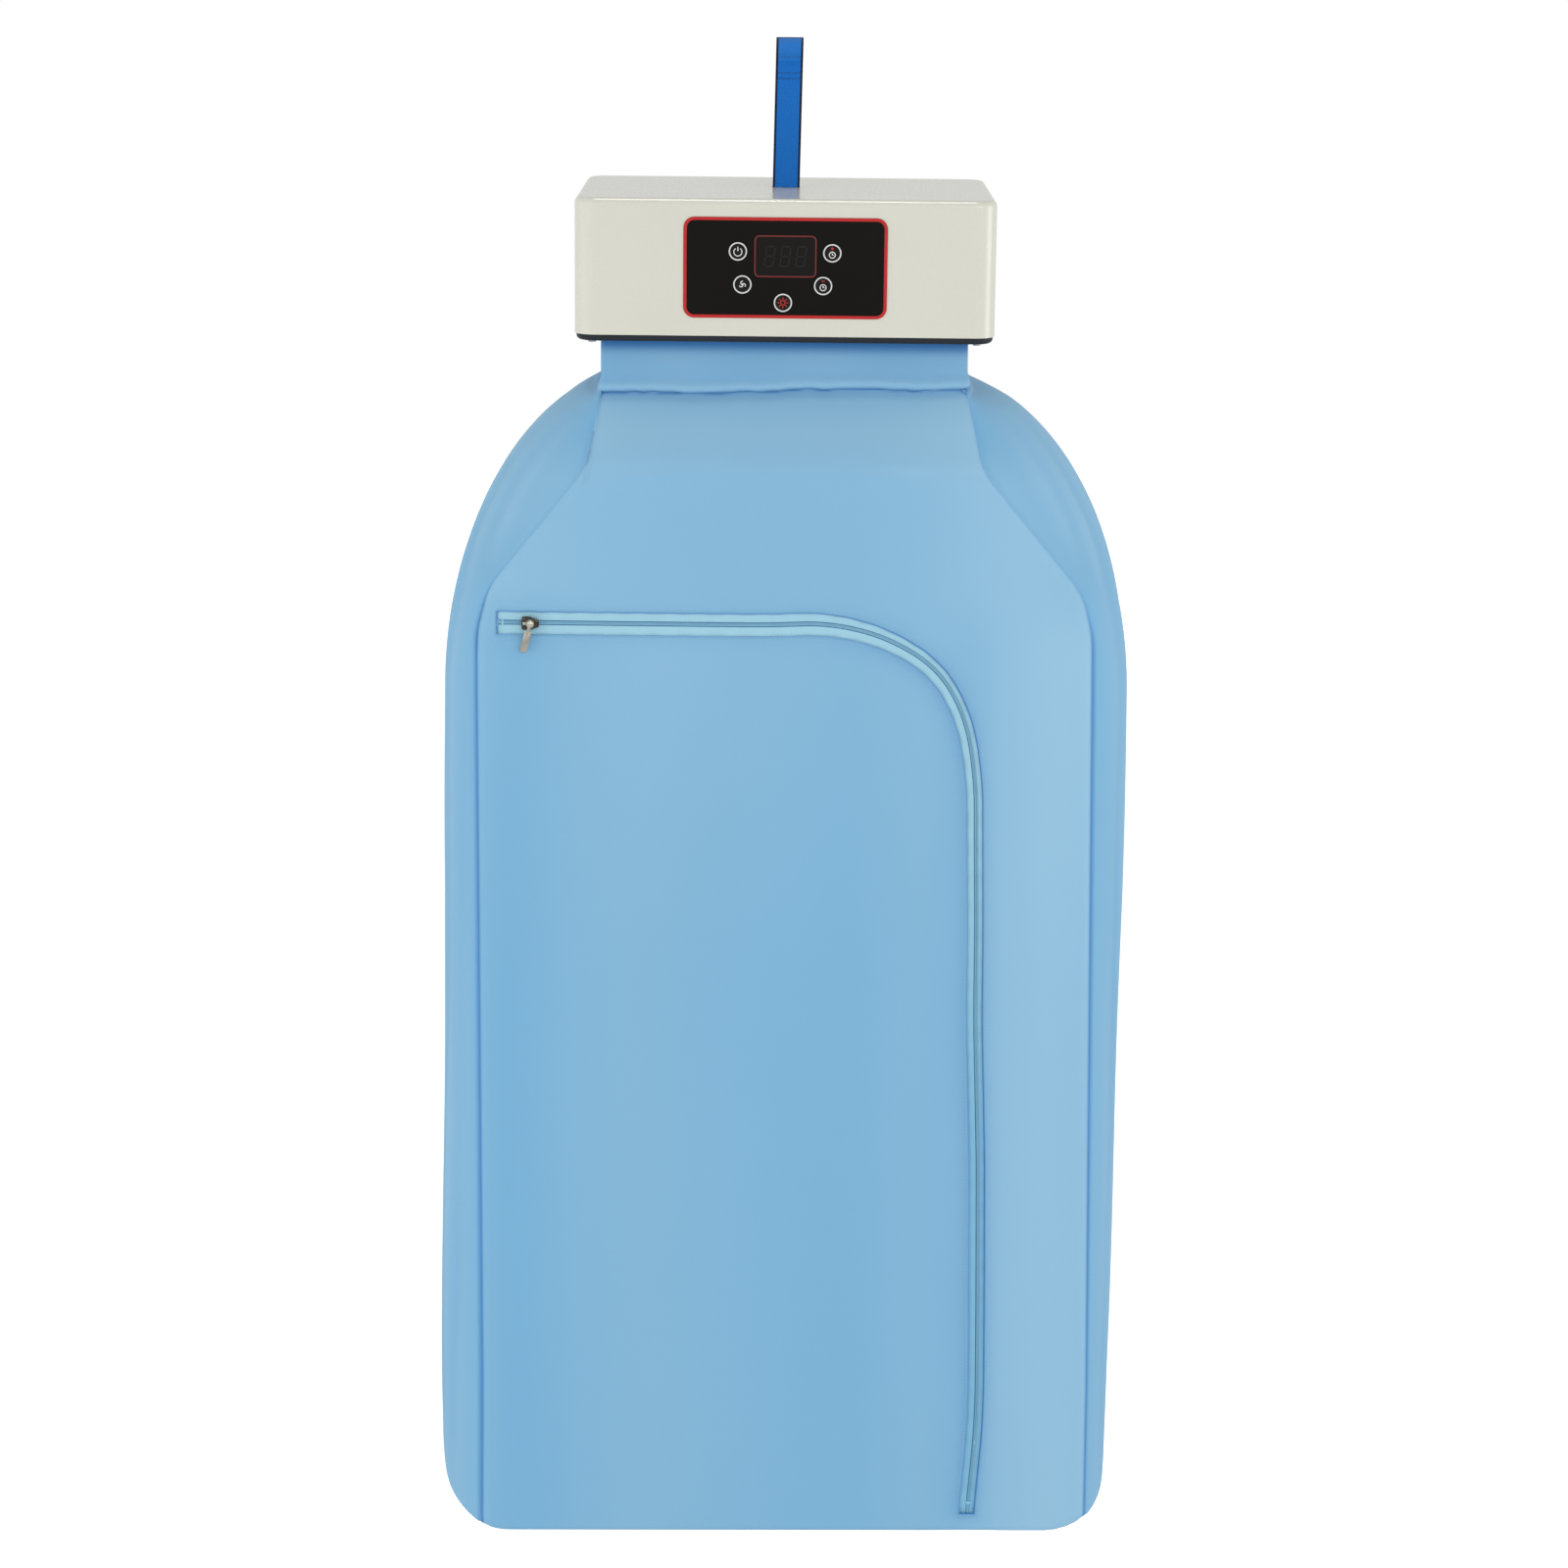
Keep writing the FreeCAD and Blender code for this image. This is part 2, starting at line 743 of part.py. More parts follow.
def base_plate():
    """Dark plate that closes the head, with a rounded lip, the outlet and the collar for the neck."""
    base = new_body("base_plate")
    boss_x = s.head_width / 2 - s.cover_boss_inset
    boss_y = s.head_depth / 2 - s.cover_boss_inset
    holes = [circle(x, y, screw_hole) for x, y, _ in mirrored_places(boss_x, boss_y, 0)]
    block = pad(
        base, "XY", base_bottom, s.base_thickness,
        rounded(
            s.head_width - s.base_inset * 2,
            s.head_depth - s.base_inset * 2,
            s.head_corner_radius - s.base_inset,
        ),
        rectangle(s.outlet_width, s.outlet_depth),
        *holes,
    )
    low = number(base_bottom)
    rim = next(face for face in block.Shape.Faces if abs(face.BoundBox.ZMax - low) < SAME_LEVEL).OuterWire
    round_edges(
        base, block, s.base_edge_radius,
        lambda edge: any(edge.isSame(rim_edge) for rim_edge in rim.Edges),
    )
    width, depth = collar_outside()
    pad(
        base, "XY", base_bottom - s.collar_height, s.collar_height + s.base_thickness / 2,
        rectangle(width, depth),
        rectangle(width - s.collar_wall * 2, depth - s.collar_wall * 2),
    )
    rack_holes = [circle(x, y, screw_hole) for x, y, _ in mirrored_places(s.rack_screw_x, rack_screw_y(), 0)]
    cut(base, "XY", base_bottom, s.screw_bite, *rack_holes)
    return base


def collar_outside():
    """Width and depth of the collar that the neck sleeve slips over."""
    slip = (s.fabric + s.seat_gap) * 2
    return s.neck_width - slip, s.neck_depth - slip


def bracket_outside():
    """Distance from the middle plane to the outer face of a rack bracket, just inside the collar."""
    _, depth = collar_outside()
    return depth / 2 - s.collar_wall - s.rack_clearance


def rack_screw_y():
    """Distance from the middle plane to the screws in a bracket's flange."""
    return bracket_outside() - s.rack_plate - s.rack_flange_depth / 2


def panel_pieces():
    """Red border frame, black fascia, smoked lens and the five keys."""
    inner_width = s.panel_width - s.border_width * 2
    inner_height = s.panel_height - s.border_width * 2
    inner_radius = s.panel_corner_radius - s.border_width
    z = panel_height_centre
    border = plate(
        "panel_border", "XZ", panel_seat, s.panel_thickness,
        rounded(s.panel_width, s.panel_height, s.panel_corner_radius, 0, z),
        rounded(inner_width, inner_height, inner_radius, 0, z),
    )
    shrink = s.panel_clearance * 2
    lens_z = z + s.lens_rise
    key_hole = s.key_radius + s.key_clearance
    fascia = plate(
        "control_panel", "XZ", panel_seat, s.panel_thickness,
        rounded(inner_width - shrink, inner_height - shrink, inner_radius - s.panel_clearance, 0, z),
        rounded(s.lens_width, s.lens_height, s.lens_corner_radius, 0, lens_z),
        *[circle(x, z + rise, key_hole) for x, rise in KEYS.values()],
    )
    lens = plate(
        "display_lens", "XZ", panel_seat, s.panel_thickness,
        rounded(
            s.lens_width - shrink, s.lens_height - shrink, s.lens_corner_radius - s.panel_clearance, 0, lens_z
        ),
    )
    return [border, fascia, lens] + [key(label, x, z + rise) for label, (x, rise) in KEYS.items()]


def key(label, x, z):
    """A round key with a dished face, a flange behind the fascia and a stem over its switch."""
    face = panel_seat + s.panel_thickness + s.key_proud
    flange_front = panel_seat - s.seat_gap
    flange_back = flange_front - s.key_flange_thickness
    stem_end = switch_top() + s.key_travel + s.seat_gap
    dish_radius = (s.key_radius * s.key_radius + s.key_dish * s.key_dish) / (s.key_dish * 2)
    profile = [
        (0, stem_end),
        (s.key_stem_radius, stem_end),
        (s.key_stem_radius, flange_back),
        (s.key_flange_radius, flange_back),
        (s.key_flange_radius, flange_front),
        (s.key_radius, flange_front),
        (s.key_radius, face, dish_radius, -1),
        (0, face - s.key_dish),
    ]
    return turned(label, profile, x, 0, z, "Y")


def switch_top():
    """Level of the switches' plungers, which leaves each key its stem and travel."""
    flange_back = panel_seat - s.seat_gap - s.key_flange_thickness
    return flange_back - s.key_travel * 3


def board_pieces():
    """Control board on the cover's posts, with the key switches, the display and its screws."""
    z = panel_height_centre
    places = [(x, z + rise) for x, rise, _ in mirrored_places(board_post_x, s.board_post_rise, 0)]
    board = plate(
        "control_board", "XZ", board_front - s.board_thickness, s.board_thickness,
        rectangle((board_post_x + s.board_margin) * 2, (s.board_post_rise + s.board_margin) * 2, 0, z),
        *[circle(x, post_z, screw_hole) for x, post_z in places],
    )
    switch_height = switch_top() - s.plunger_height - board_front
    switches = []
    for label, (x, rise) in KEYS.items():
        switch = new_body(f"{label}_switch")
        pad(switch, "XZ", board_front, switch_height, rectangle(s.switch_side, s.switch_side, x, z + rise))
        plunger = circle(x, z + rise, s.plunger_radius)
        pad(switch, "XZ", board_front, switch_height + s.plunger_height, plunger)
        switches.append(switch)
    display = plate(
        "display_module", "XZ", board_front, panel_seat - s.seat_gap - board_front,
        rectangle(s.display_width, s.display_height, 0, z + s.lens_rise),
    )
    back = s.board_thickness - board_front
    board_screws = screws(
        "board_screws",
        [(x, back, post_z) for x, post_z in places],
        s.board_thickness + s.screw_bite - s.seat_gap, "Y", -1,
    )
    return [board, group("key_switches", switches), display, board_screws]


def fan_pieces():
    """Axial fan: ring on legs with a cross of arms, motor, shaft and a bladed impeller."""
    ring_bottom = head_top - s.shroud_drop - s.shroud_height
    grille_top = cover_bottom + s.grille_thickness
    motor_bottom = ring_bottom + s.spider_thickness
    nose_top = motor_bottom + s.motor_height + s.motor_nose_height
    hub_under = nose_top + s.hub_gap
    hub_top = hub_under + s.hub_wall
    ring_inner = s.shroud_radius - s.shroud_wall

    shroud = new_body("fan_shroud")
    pad(shroud, "XY", ring_bottom, s.shroud_height, circle(0, 0, s.shroud_radius), circle(0, 0, ring_inner))
    span = ring_inner * 2 + s.shroud_wall
    pad(shroud, "XY", ring_bottom, s.spider_thickness, rectangle(span, s.spider_arm_width))
    pad(shroud, "XY", ring_bottom, s.spider_thickness, rectangle(s.spider_arm_width, span))
    pad(shroud, "XY", ring_bottom, s.spider_thickness, circle(0, 0, s.spider_hub_radius))
    motor_holes = [circle(x, 0, screw_hole) for x in (-s.motor_screw_offset, s.motor_screw_offset)]
    cut(shroud, "XY", ring_bottom, s.spider_thickness, circle(0, 0, s.spider_bore_radius), *motor_holes)
    leg = (ring_inner + s.shroud_leg_radius) * math.sqrt(0.5)
    legs = [circle(x, y, s.shroud_leg_radius) for x, y, _ in mirrored_places(leg, leg, 0)]
    pad(shroud, "XY", grille_top, ring_bottom + s.spider_thickness - grille_top, *legs)

    bore = s.shaft_radius + s.running_clearance
    bore_floor = nose_top - s.motor_bore_depth
    motor = turned(
        "fan_motor",
        [
            (0, motor_bottom),
            (s.motor_radius, motor_bottom),
            (s.motor_radius, motor_bottom + s.motor_height),
            (s.motor_nose_radius, motor_bottom + s.motor_height),
            (s.motor_nose_radius, nose_top),
            (bore, nose_top),
            (bore, bore_floor),
            (0, bore_floor),
        ],
    )
    cut(motor, "XY", motor_bottom, s.screw_bite, *motor_holes)
    shaft = plate(
        "motor_shaft", "XY", bore_floor + s.seat_gap, hub_top - bore_floor - s.seat_gap,
        circle(0, 0, s.shaft_radius),
    )
    motor_screws = screws(
        "motor_screws",
        [(x, 0, ring_bottom) for x in (-s.motor_screw_offset, s.motor_screw_offset)],
        s.spider_thickness + s.screw_bite - s.seat_gap, "Z", -1,
    )
    return [shroud, motor, shaft, motor_screws, impeller(hub_top, bore, ring_inner)]


def impeller(hub_top, bore, ring_inner):
    """Cupped hub with twisted, cambered blades, the piece that takes the most shaping."""
    hub_low = hub_top - s.hub_height
    cup = s.hub_radius - s.hub_wall
    body = turned(
        "fan_impeller",
        [
            (bore, hub_top - s.hub_wall),
            (cup, hub_top - s.hub_wall),
            (cup, hub_low),
            (s.hub_radius, hub_low),
            (s.hub_radius, hub_top),
            (bore, hub_top),
        ],
    )
    middle = hub_top - s.hub_height / 2
    stations = (
        (s.hub_radius - s.hub_wall / 2, s.blade_root_run, s.blade_root_rise),
        (ring_inner - s.blade_tip_clearance, s.blade_tip_run, s.blade_tip_rise),
    )
    sketches = []
    for reach, run, rise in stations:
        low, high = middle - rise / 2, middle + rise / 2
        section = [
            (-run / 2, high, s.blade_camber_radius, -1),
            (run / 2, low),
            (run / 2, low + s.blade_thickness, s.blade_camber_radius, 1),
            (-run / 2, high + s.blade_thickness),
        ]
        sketches.append(add_sketch(body, "YZ", reach, [section]))
    blade = body.newObject("PartDesign::AdditiveLoft", "fan_blade")
    blade.Profile = sketches[0]
    blade.Sections = sketches[1:]
    finish_feature(body, blade)
    ring = body.newObject("PartDesign::PolarPattern", "fan_blades")
    ring.Originals = [blade]
    ring.Axis = (origin_part(body, "Z_Axis"), [""])
    ring.Angle = 360
    ring.Occurrences = BLADES
    finish_feature(body, ring)
    return body


def heater_pieces():
    """Slotted outlet grille on the base plate, heater frame on it, finned core and thermal cut-out."""
    grille_top = cover_bottom + s.grille_thickness
    slot_length = s.outlet_depth - s.grille_slot_margin * 2
    first_slot = s.grille_slot_pitch * ((1 - GRILLE_SLOTS) / 2)
    grille = plate(
        "outlet_grille", "XY", cover_bottom, s.grille_thickness,
        rectangle(s.outlet_width + s.grille_margin * 2, s.outlet_depth + s.grille_margin * 2),
    )
    slot = cut(
        grille, "XY", cover_bottom, s.grille_thickness,
        rectangle(s.grille_slot_width, slot_length, first_slot, 0),
    )
    repeat_along_x(grille, slot, s.grille_slot_pitch, GRILLE_SLOTS)
    inner_width = s.frame_width - s.frame_wall * 2
    inner_depth = s.frame_depth - s.frame_wall * 2
    frame = new_body("heater_frame")
    pad(
        frame, "XY", grille_top, s.frame_ledge,
        rectangle(s.frame_width, s.frame_depth),
        rectangle(inner_width - s.frame_ledge * 2, inner_depth - s.frame_ledge * 2),
    )
    pad(
        frame, "XY", grille_top + s.frame_ledge, s.frame_height - s.frame_ledge,
        rectangle(s.frame_width, s.frame_depth),
        rectangle(inner_width, inner_depth),
    )
    core_width = inner_width - s.core_clearance * 2
    core_depth = inner_depth - s.core_clearance * 2
    core_low = grille_top + s.frame_ledge
    core = new_body("heater_core")
    bars = []
    for i in range(HEATER_BARS):
        place = (core_depth - s.bar_width) * (i / (HEATER_BARS - 1) - 0.5)
        bars.append(rectangle(core_width, s.bar_width, 0, place))
    pad(core, "XY", core_low, s.core_height, *bars)
    fin_reach = core_width - s.fin_thickness
    fin = pad(core, "XY", core_low, s.core_height, rectangle(s.fin_thickness, core_depth, -fin_reach / 2, 0))
    repeat_along_x(core, fin, fin_reach / (FINS - 1), FINS)
    cutout = plate(
        "thermal_cutout", "YZ", s.frame_width / 2, s.cutout_length,
        circle(0, grille_top + s.frame_height / 2, s.cutout_radius),
    )
    return [grille, frame, core, cutout]


def lamp_pieces():
    """Ultraviolet tube along the depth under the base plate, held by two clips."""
    z = base_bottom - s.lamp_drop
    half = s.lamp_length / 2
    cap = half - s.lamp_cap_length
    lamp = turned(
        "uv_lamp",
        [
            (0, -half),
            (s.lamp_cap_radius, -half),
            (s.lamp_cap_radius, -cap),
            (s.lamp_radius, -cap),
            (s.lamp_radius, cap),
            (s.lamp_cap_radius, cap),
            (s.lamp_cap_radius, half),
            (0, half),
        ],
        lamp_x, 0, z, "Y",
    )
    wide = s.lamp_cap_radius + s.clip_margin
    hole = s.lamp_cap_radius + s.running_clearance
    mid_cap = half - s.lamp_cap_length / 2
    clips = []
    for name, level in (("front", mid_cap - s.clip_thickness / 2), ("rear", -mid_cap - s.clip_thickness / 2)):
        outline = [
            (lamp_x - wide, base_bottom),
            (lamp_x - wide, z, wide),
            (lamp_x, z - wide, wide),
            (lamp_x + wide, z),
            (lamp_x + wide, base_bottom),
        ]
        ring = circle(lamp_x, z, hole)
        clips.append(plate(f"{name}_lamp_clip", "XZ", level, s.clip_thickness, outline, ring))
    return [lamp, group("uv_lamp_clips", clips)]


def cord_inlet():
    """Bushed inlet in the rear wall for the mains cord."""
    wall_back = -s.head_depth / 2
    wall_inner = wall_back + s.cover_wall
    nut_end = wall_inner + s.inlet_nut_thickness
    flange_end = wall_back - s.inlet_flange_thickness
    profile = [
        (s.inlet_bore_radius, flange_end),
        (s.inlet_flange_radius, flange_end),
        (s.inlet_flange_radius, wall_back),
        (s.inlet_radius, wall_back),
        (s.inlet_radius, wall_inner),
        (s.inlet_flange_radius, wall_inner),
        (s.inlet_flange_radius, nut_end),
        (s.inlet_bore_radius, nut_end),
    ]
    return turned("cord_inlet", profile, inlet_x, 0, cover_bottom + s.inlet_rise, "Y")


def rack_pieces():
    """Front and rear brackets under the base plate, the hanger rail, the folding arms and their pins."""
    outside = bracket_outside()
    inside = outside - s.rack_plate
    pivot_z = base_bottom - s.arm_pivot_drop
    rail_z = base_bottom - s.rail_drop
    strip_z = base_bottom - s.rack_strip_height
    lug = s.rack_lug_radius
    left, right = -arm_pivot_x, arm_pivot_x
    outline = [
        (left - lug, base_bottom),
        (left - lug, pivot_z, lug),
        (left, pivot_z - lug, lug),
        (left + lug, pivot_z),
        (left + lug, strip_z),
        (-lug, strip_z),
        (-lug, rail_z, lug),
        (0, rail_z - lug, lug),
        (lug, rail_z),
        (lug, strip_z),
        (right - lug, strip_z),
        (right - lug, pivot_z, lug),
        (right, pivot_z - lug, lug),
        (right + lug, pivot_z),
        (right + lug, base_bottom),
    ]
    pin_hole = s.arm_pin_radius + s.running_clearance
    holes = [
        circle(left, pivot_z, pin_hole),
        circle(right, pivot_z, pin_hole),
        circle(0, rail_z, s.rail_spigot_radius + s.running_clearance),
    ]
    flange_z = base_bottom - s.rack_flange_thickness
    flange_y = inside - s.rack_flange_depth / 2
    brackets = []
    for name, level, sign in (("front", inside, -1), ("rear", -outside, 1)):
        bracket = plate(f"{name}_rack_bracket", "XZ", level, s.rack_plate, outline, *holes)
        flange = rectangle(
            (right + lug) * 2, s.rack_flange_depth + s.rack_plate, 0, (flange_y + s.rack_plate / 2) * sign
        )
        screw_places = [circle(x, flange_y * sign, screw_hole) for x in (-s.rack_screw_x, s.rack_screw_x)]
        pad(bracket, "XY", flange_z, s.rack_flange_thickness, flange, *screw_places)
        brackets.append(bracket)
    rack_screws = screws(
        "rack_screws",
        mirrored_places(s.rack_screw_x, flange_y, flange_z),
        s.rack_flange_thickness + s.screw_bite - s.seat_gap, "Z", -1,
    )
    shoulder_y = inside - s.seat_gap
    rail = turned(
        "hanger_rail",
        [
            (0, -outside),
            (s.rail_spigot_radius, -outside),
            (s.rail_spigot_radius, -shoulder_y),
            (s.rail_radius, -shoulder_y),
            (s.rail_radius, shoulder_y),
            (s.rail_spigot_radius, shoulder_y),
            (s.rail_spigot_radius, outside),
            (0, outside),
        ],
        0, 0, rail_z, "Y",
    )
    eye_outer = inside - s.seat_gap
    eye_inner = eye_outer - s.arm_eye_width
    head_face = eye_inner - s.seat_gap
    head_end = head_face - s.arm_pin_head_thickness
    pin_profile = [
        (0, head_end),
        (s.arm_pin_head_radius, head_end),
        (s.arm_pin_head_radius, head_face),
        (s.arm_pin_radius, head_face),
        (s.arm_pin_radius, outside),
        (0, outside),
    ]
    rear_profile = [(radius, -level) for radius, level in pin_profile[::-1]]
    pins = []
    for side, x in (("left", left), ("right", right)):
        pins.append(turned(f"{side}_front_pin", pin_profile, x, 0, pivot_z, "Y"))
        pins.append(turned(f"{side}_rear_pin", rear_profile, x, 0, pivot_z, "Y"))
    arms = [
        shoulder_arm("left_arm", left, pivot_z, 1, eye_inner),
        shoulder_arm("right_arm", right, pivot_z, -1, eye_inner),
    ]
    return brackets + [rack_screws, rail, group("arm_pins", pins)] + arms


def cylinder(label, radius, height, x, y, z, rotation=None):
    """A plain round bar from its foot."""
    bar = doc.addObject("Part::Cylinder", label)
    bind(bar, "Radius", radius)
    bind(bar, "Height", height)
    lay(bar, x, y, z, rotation or FreeCAD.Rotation())
    return bar


def shoulder_arm(label, pivot_x, pivot_z, sign, eye_inner):
    """Shoulder arm of bent tube: two legs from eyes on the pins to a bar that spreads the bag's shoulder."""
    along_depth = FreeCAD.Rotation(FreeCAD.Vector(1, 0, 0), -90)
    across = shoulder_half - s.arm_bar_gap - arm_pivot_x
    down = pivot_z - shoulder - s.arm_bar_rise
    leg_length = root(across * across + down * down)
    leg_y = eye_inner + s.arm_eye_width / 2
    bars = []
    for name, side in (("front", -1), ("rear", 1)):
        leg = cylinder(
            f"{label}_{name}_leg", s.arm_leg_radius, leg_length, 0, leg_y * side, -leg_length
        )
        eye_foot = eye_inner if side > 0 else -eye_inner - s.arm_eye_width
        eye = cylinder(f"{label}_{name}_eye", s.arm_eye_radius, s.arm_eye_width, 0, eye_foot, 0, along_depth)
        bars += [leg, eye]
    bar_foot = -s.arm_bar_length / 2
    cross = cylinder(
        f"{label}_bar", s.arm_bar_radius, s.arm_bar_length, 0, bar_foot, -leg_length, along_depth
    )
    joined = doc.addObject("Part::MultiFuse", f"{label}_joined")
    joined.Shapes = bars + [cross]
    bore = cylinder(
        f"{label}_bore", s.arm_pin_radius + s.running_clearance, s.arm_bar_length, 0, bar_foot, 0, along_depth
    )
    arm = doc.addObject("Part::Cut", label)
    arm.Label = label
    arm.Base = joined
    arm.Tool = bore
    lay(arm, pivot_x, 0, pivot_z, FreeCAD.Rotation(FreeCAD.Vector(0, 1, 0), 1))
    bind(arm, "Placement.Rotation.Angle", lean(across * sign, down))
    doc.recompute()
    return arm


# Bag: half widths of the front seam and of the silhouette, and half depths, level by level

def between(low, high, share):
    """A size part of the way from one to another."""
    return low + (high - low) * share


def arch_half_width(level):
    """Half width of the bag's silhouette at a level in its arch, which leaves the neck at a slant."""
    start = s.neck_width / 2 + s.neck_bulge
    left_over = 1 - (neck_bottom - level) / s.arch_height
    ellipse_share = root(1 - left_over * left_over)
    return start + (s.bag_width / 2 - s.side_taper - start) * ellipse_share * root(ellipse_share)


def bag_levels():
    """(level, front seam half width, silhouette half width, half depth) from the neck to the hem."""
    flare = neck_bottom - s.neck_flare_height
    flare_share = s.neck_flare_height / s.yoke_height
    mid_shoulder_share = 0.42
    mid_shoulder = between(bend, shoulder, mid_shoulder_share)
    arch_foot = neck_bottom - s.arch_height
    foot_share = (corner - arch_foot) / (corner - hem)
    round_top = hem + s.hem_round
    round_share = (corner - round_top) / (corner - hem)
    depth = s.bag_depth / 2
    full = s.bag_width / 2
    return [
        (neck_bottom, neck_half, neck_half + s.neck_bulge, s.neck_depth / 2),
        (
            flare,
            between(neck_half, bend_half, flare_share),
            arch_half_width(flare),
            between(s.neck_depth / 2, depth, flare_share),
        ),
        (bend, bend_half, arch_half_width(bend), depth),
        (
            mid_shoulder,
            between(bend_half, shoulder_half, mid_shoulder_share),
            arch_half_width(mid_shoulder),
            depth,
        ),
        (shoulder, shoulder_half, arch_half_width(shoulder), depth),
        (corner, corner_half, arch_half_width(corner), depth),
        (arch_foot, between(corner_half, hem_half, foot_share), full - s.side_taper, depth),
        (round_top, between(corner_half, hem_half, round_share), full, depth),
        (hem, hem_half, full - s.hem_tuck, depth),
    ]


def bulge_radius(out, half):
    """Radius of an arc that rises by one size over a half chord."""
    return (out * out + half * half) / (out * 2)


def gusset(label, sign):
    """Bulging side wall from the front seam to the back seam, lofted through crescents."""
    sections = []
    for level, seam, side, half in bag_levels():
        inner_half = half - s.fabric
        outer = bulge_radius(side - seam, half)
        inner = bulge_radius(side - s.fabric - seam, inner_half)
        section = [
            (seam * sign, -half * sign, outer),
            (seam * sign, half * sign),
            (seam * sign, inner_half * sign, inner, -1),
            (seam * sign, -inner_half * sign),
        ]
        sections.append((level, section))
    wall = new_body(label)
    loft(wall, sections)
    return wall


def panel_outline():
    """Flat front or back panel from the bend line to the hem, as (x, z)."""
    half = [
        (hem_half, hem),
        (corner_half, corner),
        (shoulder_half, shoulder),
        (bend_half, bend),
    ]
    return half + [(-x, z) for x, z in half[::-1]]


def yoke(body, sign):
    """Sloped strip from the bend line up to the neck, on the front (-1) or the back (1)."""
    sections = []
    for level, half, depth in ((bend, bend_half, s.bag_depth), (neck_bottom, neck_half, s.neck_depth)):
        middle = (depth / 2 - s.fabric / 2) * sign
        sections.append((level, rectangle(half * 2, s.fabric, 0, middle)))
    loft(body, sections)


def bag_pieces():
    """Neck sleeve, front and back panels, side gussets, bottom panel and its vent eyelets."""
    neck = plate(
        "neck_sleeve", "XY", neck_bottom, s.neck_height,
        rectangle(s.neck_width, s.neck_depth),
        rectangle(s.neck_width - s.fabric * 2, s.neck_depth - s.fabric * 2),
    )
    front_level = s.bag_depth / 2 - s.fabric
    front = plate("front_panel", "XZ", front_level, s.fabric, panel_outline(), door_opening())
    yoke(front, -1)
    back = plate("back_panel", "XZ", -s.bag_depth / 2, s.fabric, panel_outline())
    yoke(back, 1)
    gussets = [gusset("left_gusset", -1), gusset("right_gusset", 1)]
    half_depth = s.bag_depth / 2 - s.fabric
    side = bulge_radius(s.side_bulge - s.hem_tuck - s.fabric, half_depth)
    places = []
    for i in range(EYELETS_IN_A_ROW):
        x = s.eyelet_pitch * (i - (EYELETS_IN_A_ROW - 1) / 2)
        places += [(x, -s.eyelet_row_offset), (x, s.eyelet_row_offset)]
    bottom = plate(
        "bottom_panel", "XY", hem, s.fabric,
        [
            (-hem_half, -half_depth),
            (hem_half, -half_depth, side),
            (hem_half, half_depth),
            (-hem_half, half_depth, side),
        ],
        *[circle(x, y, s.eyelet_radius) for x, y in places],
    )
    hole = s.eyelet_radius - s.eyelet_rim_thickness
    barrel = s.eyelet_radius - s.running_clearance
    rim = s.eyelet_radius + s.eyelet_rim
    top = s.fabric
    profile = [
        (hole, 0),
        (barrel, 0),
        (barrel, top),
        (rim, top),
        (rim, top + s.eyelet_rim_thickness),
        (hole, top + s.eyelet_rim_thickness),
    ]
    eyelets = [turned(f"eyelet_{i}", profile, x, y, hem) for i, (x, y) in enumerate(places)]
    return [neck, front, back] + gussets + [bottom, group("vent_eyelets", eyelets)]


# Zip: a line along the top, a wide corner and a line down, and the fold between its two ends

zip_top = shoulder - s.zip_drop
zip_end = hem + s.zip_end_rise
zip_start_x = s.zip_margin - shoulder_half - s.shoulder_taper * (s.zip_drop / s.corner_height)
zip_side_x = hem_half - s.zip_side_margin
corner_x = zip_side_x - s.zip_corner_radius
corner_z = zip_top - s.zip_corner_radius
fold_slope = (zip_side_x - zip_start_x) / (zip_top - zip_end)
fold_shift = s.fold_gap * root(1 + fold_slope * fold_slope)


def fold_x(z):
    """Where the door's free fold edge crosses a level."""
    return zip_start_x + fold_shift + fold_slope * (zip_top - z)


def fold_z(x):
    """Where the door's free fold edge crosses a distance from the middle."""
    return zip_top - (x - zip_start_x - fold_shift) / fold_slope


def zip_strip(label, low, high, level, thickness, ends):
    """A strip that follows the zip between two distances from its middle line, outwards positive."""
    (low_x, high_x), (low_z, high_z) = ends
    outline = [
        (low_x, zip_top + low),
        (corner_x, zip_top + low, s.zip_corner_radius + low, -1),
        (zip_side_x + low, corner_z),
        (zip_side_x + low, low_z),
        (zip_side_x + high, high_z),
        (zip_side_x + high, corner_z, s.zip_corner_radius + high, 1),
        (corner_x, zip_top + high),
        (high_x, zip_top + high),
    ]
    return plate(label, "XZ", level, thickness, outline)


def door_opening():
    """The opening that the zip and the fold leave in the front panel."""
    reach = s.tape_reach
    return [
        (zip_start_x, zip_top),
        (zip_start_x, zip_top + reach),
        (corner_x, zip_top + reach, s.zip_corner_radius + reach, -1),
        (zip_side_x + reach, corner_z),
        (zip_side_x + reach, zip_end),
        (zip_side_x, zip_end),
    ]


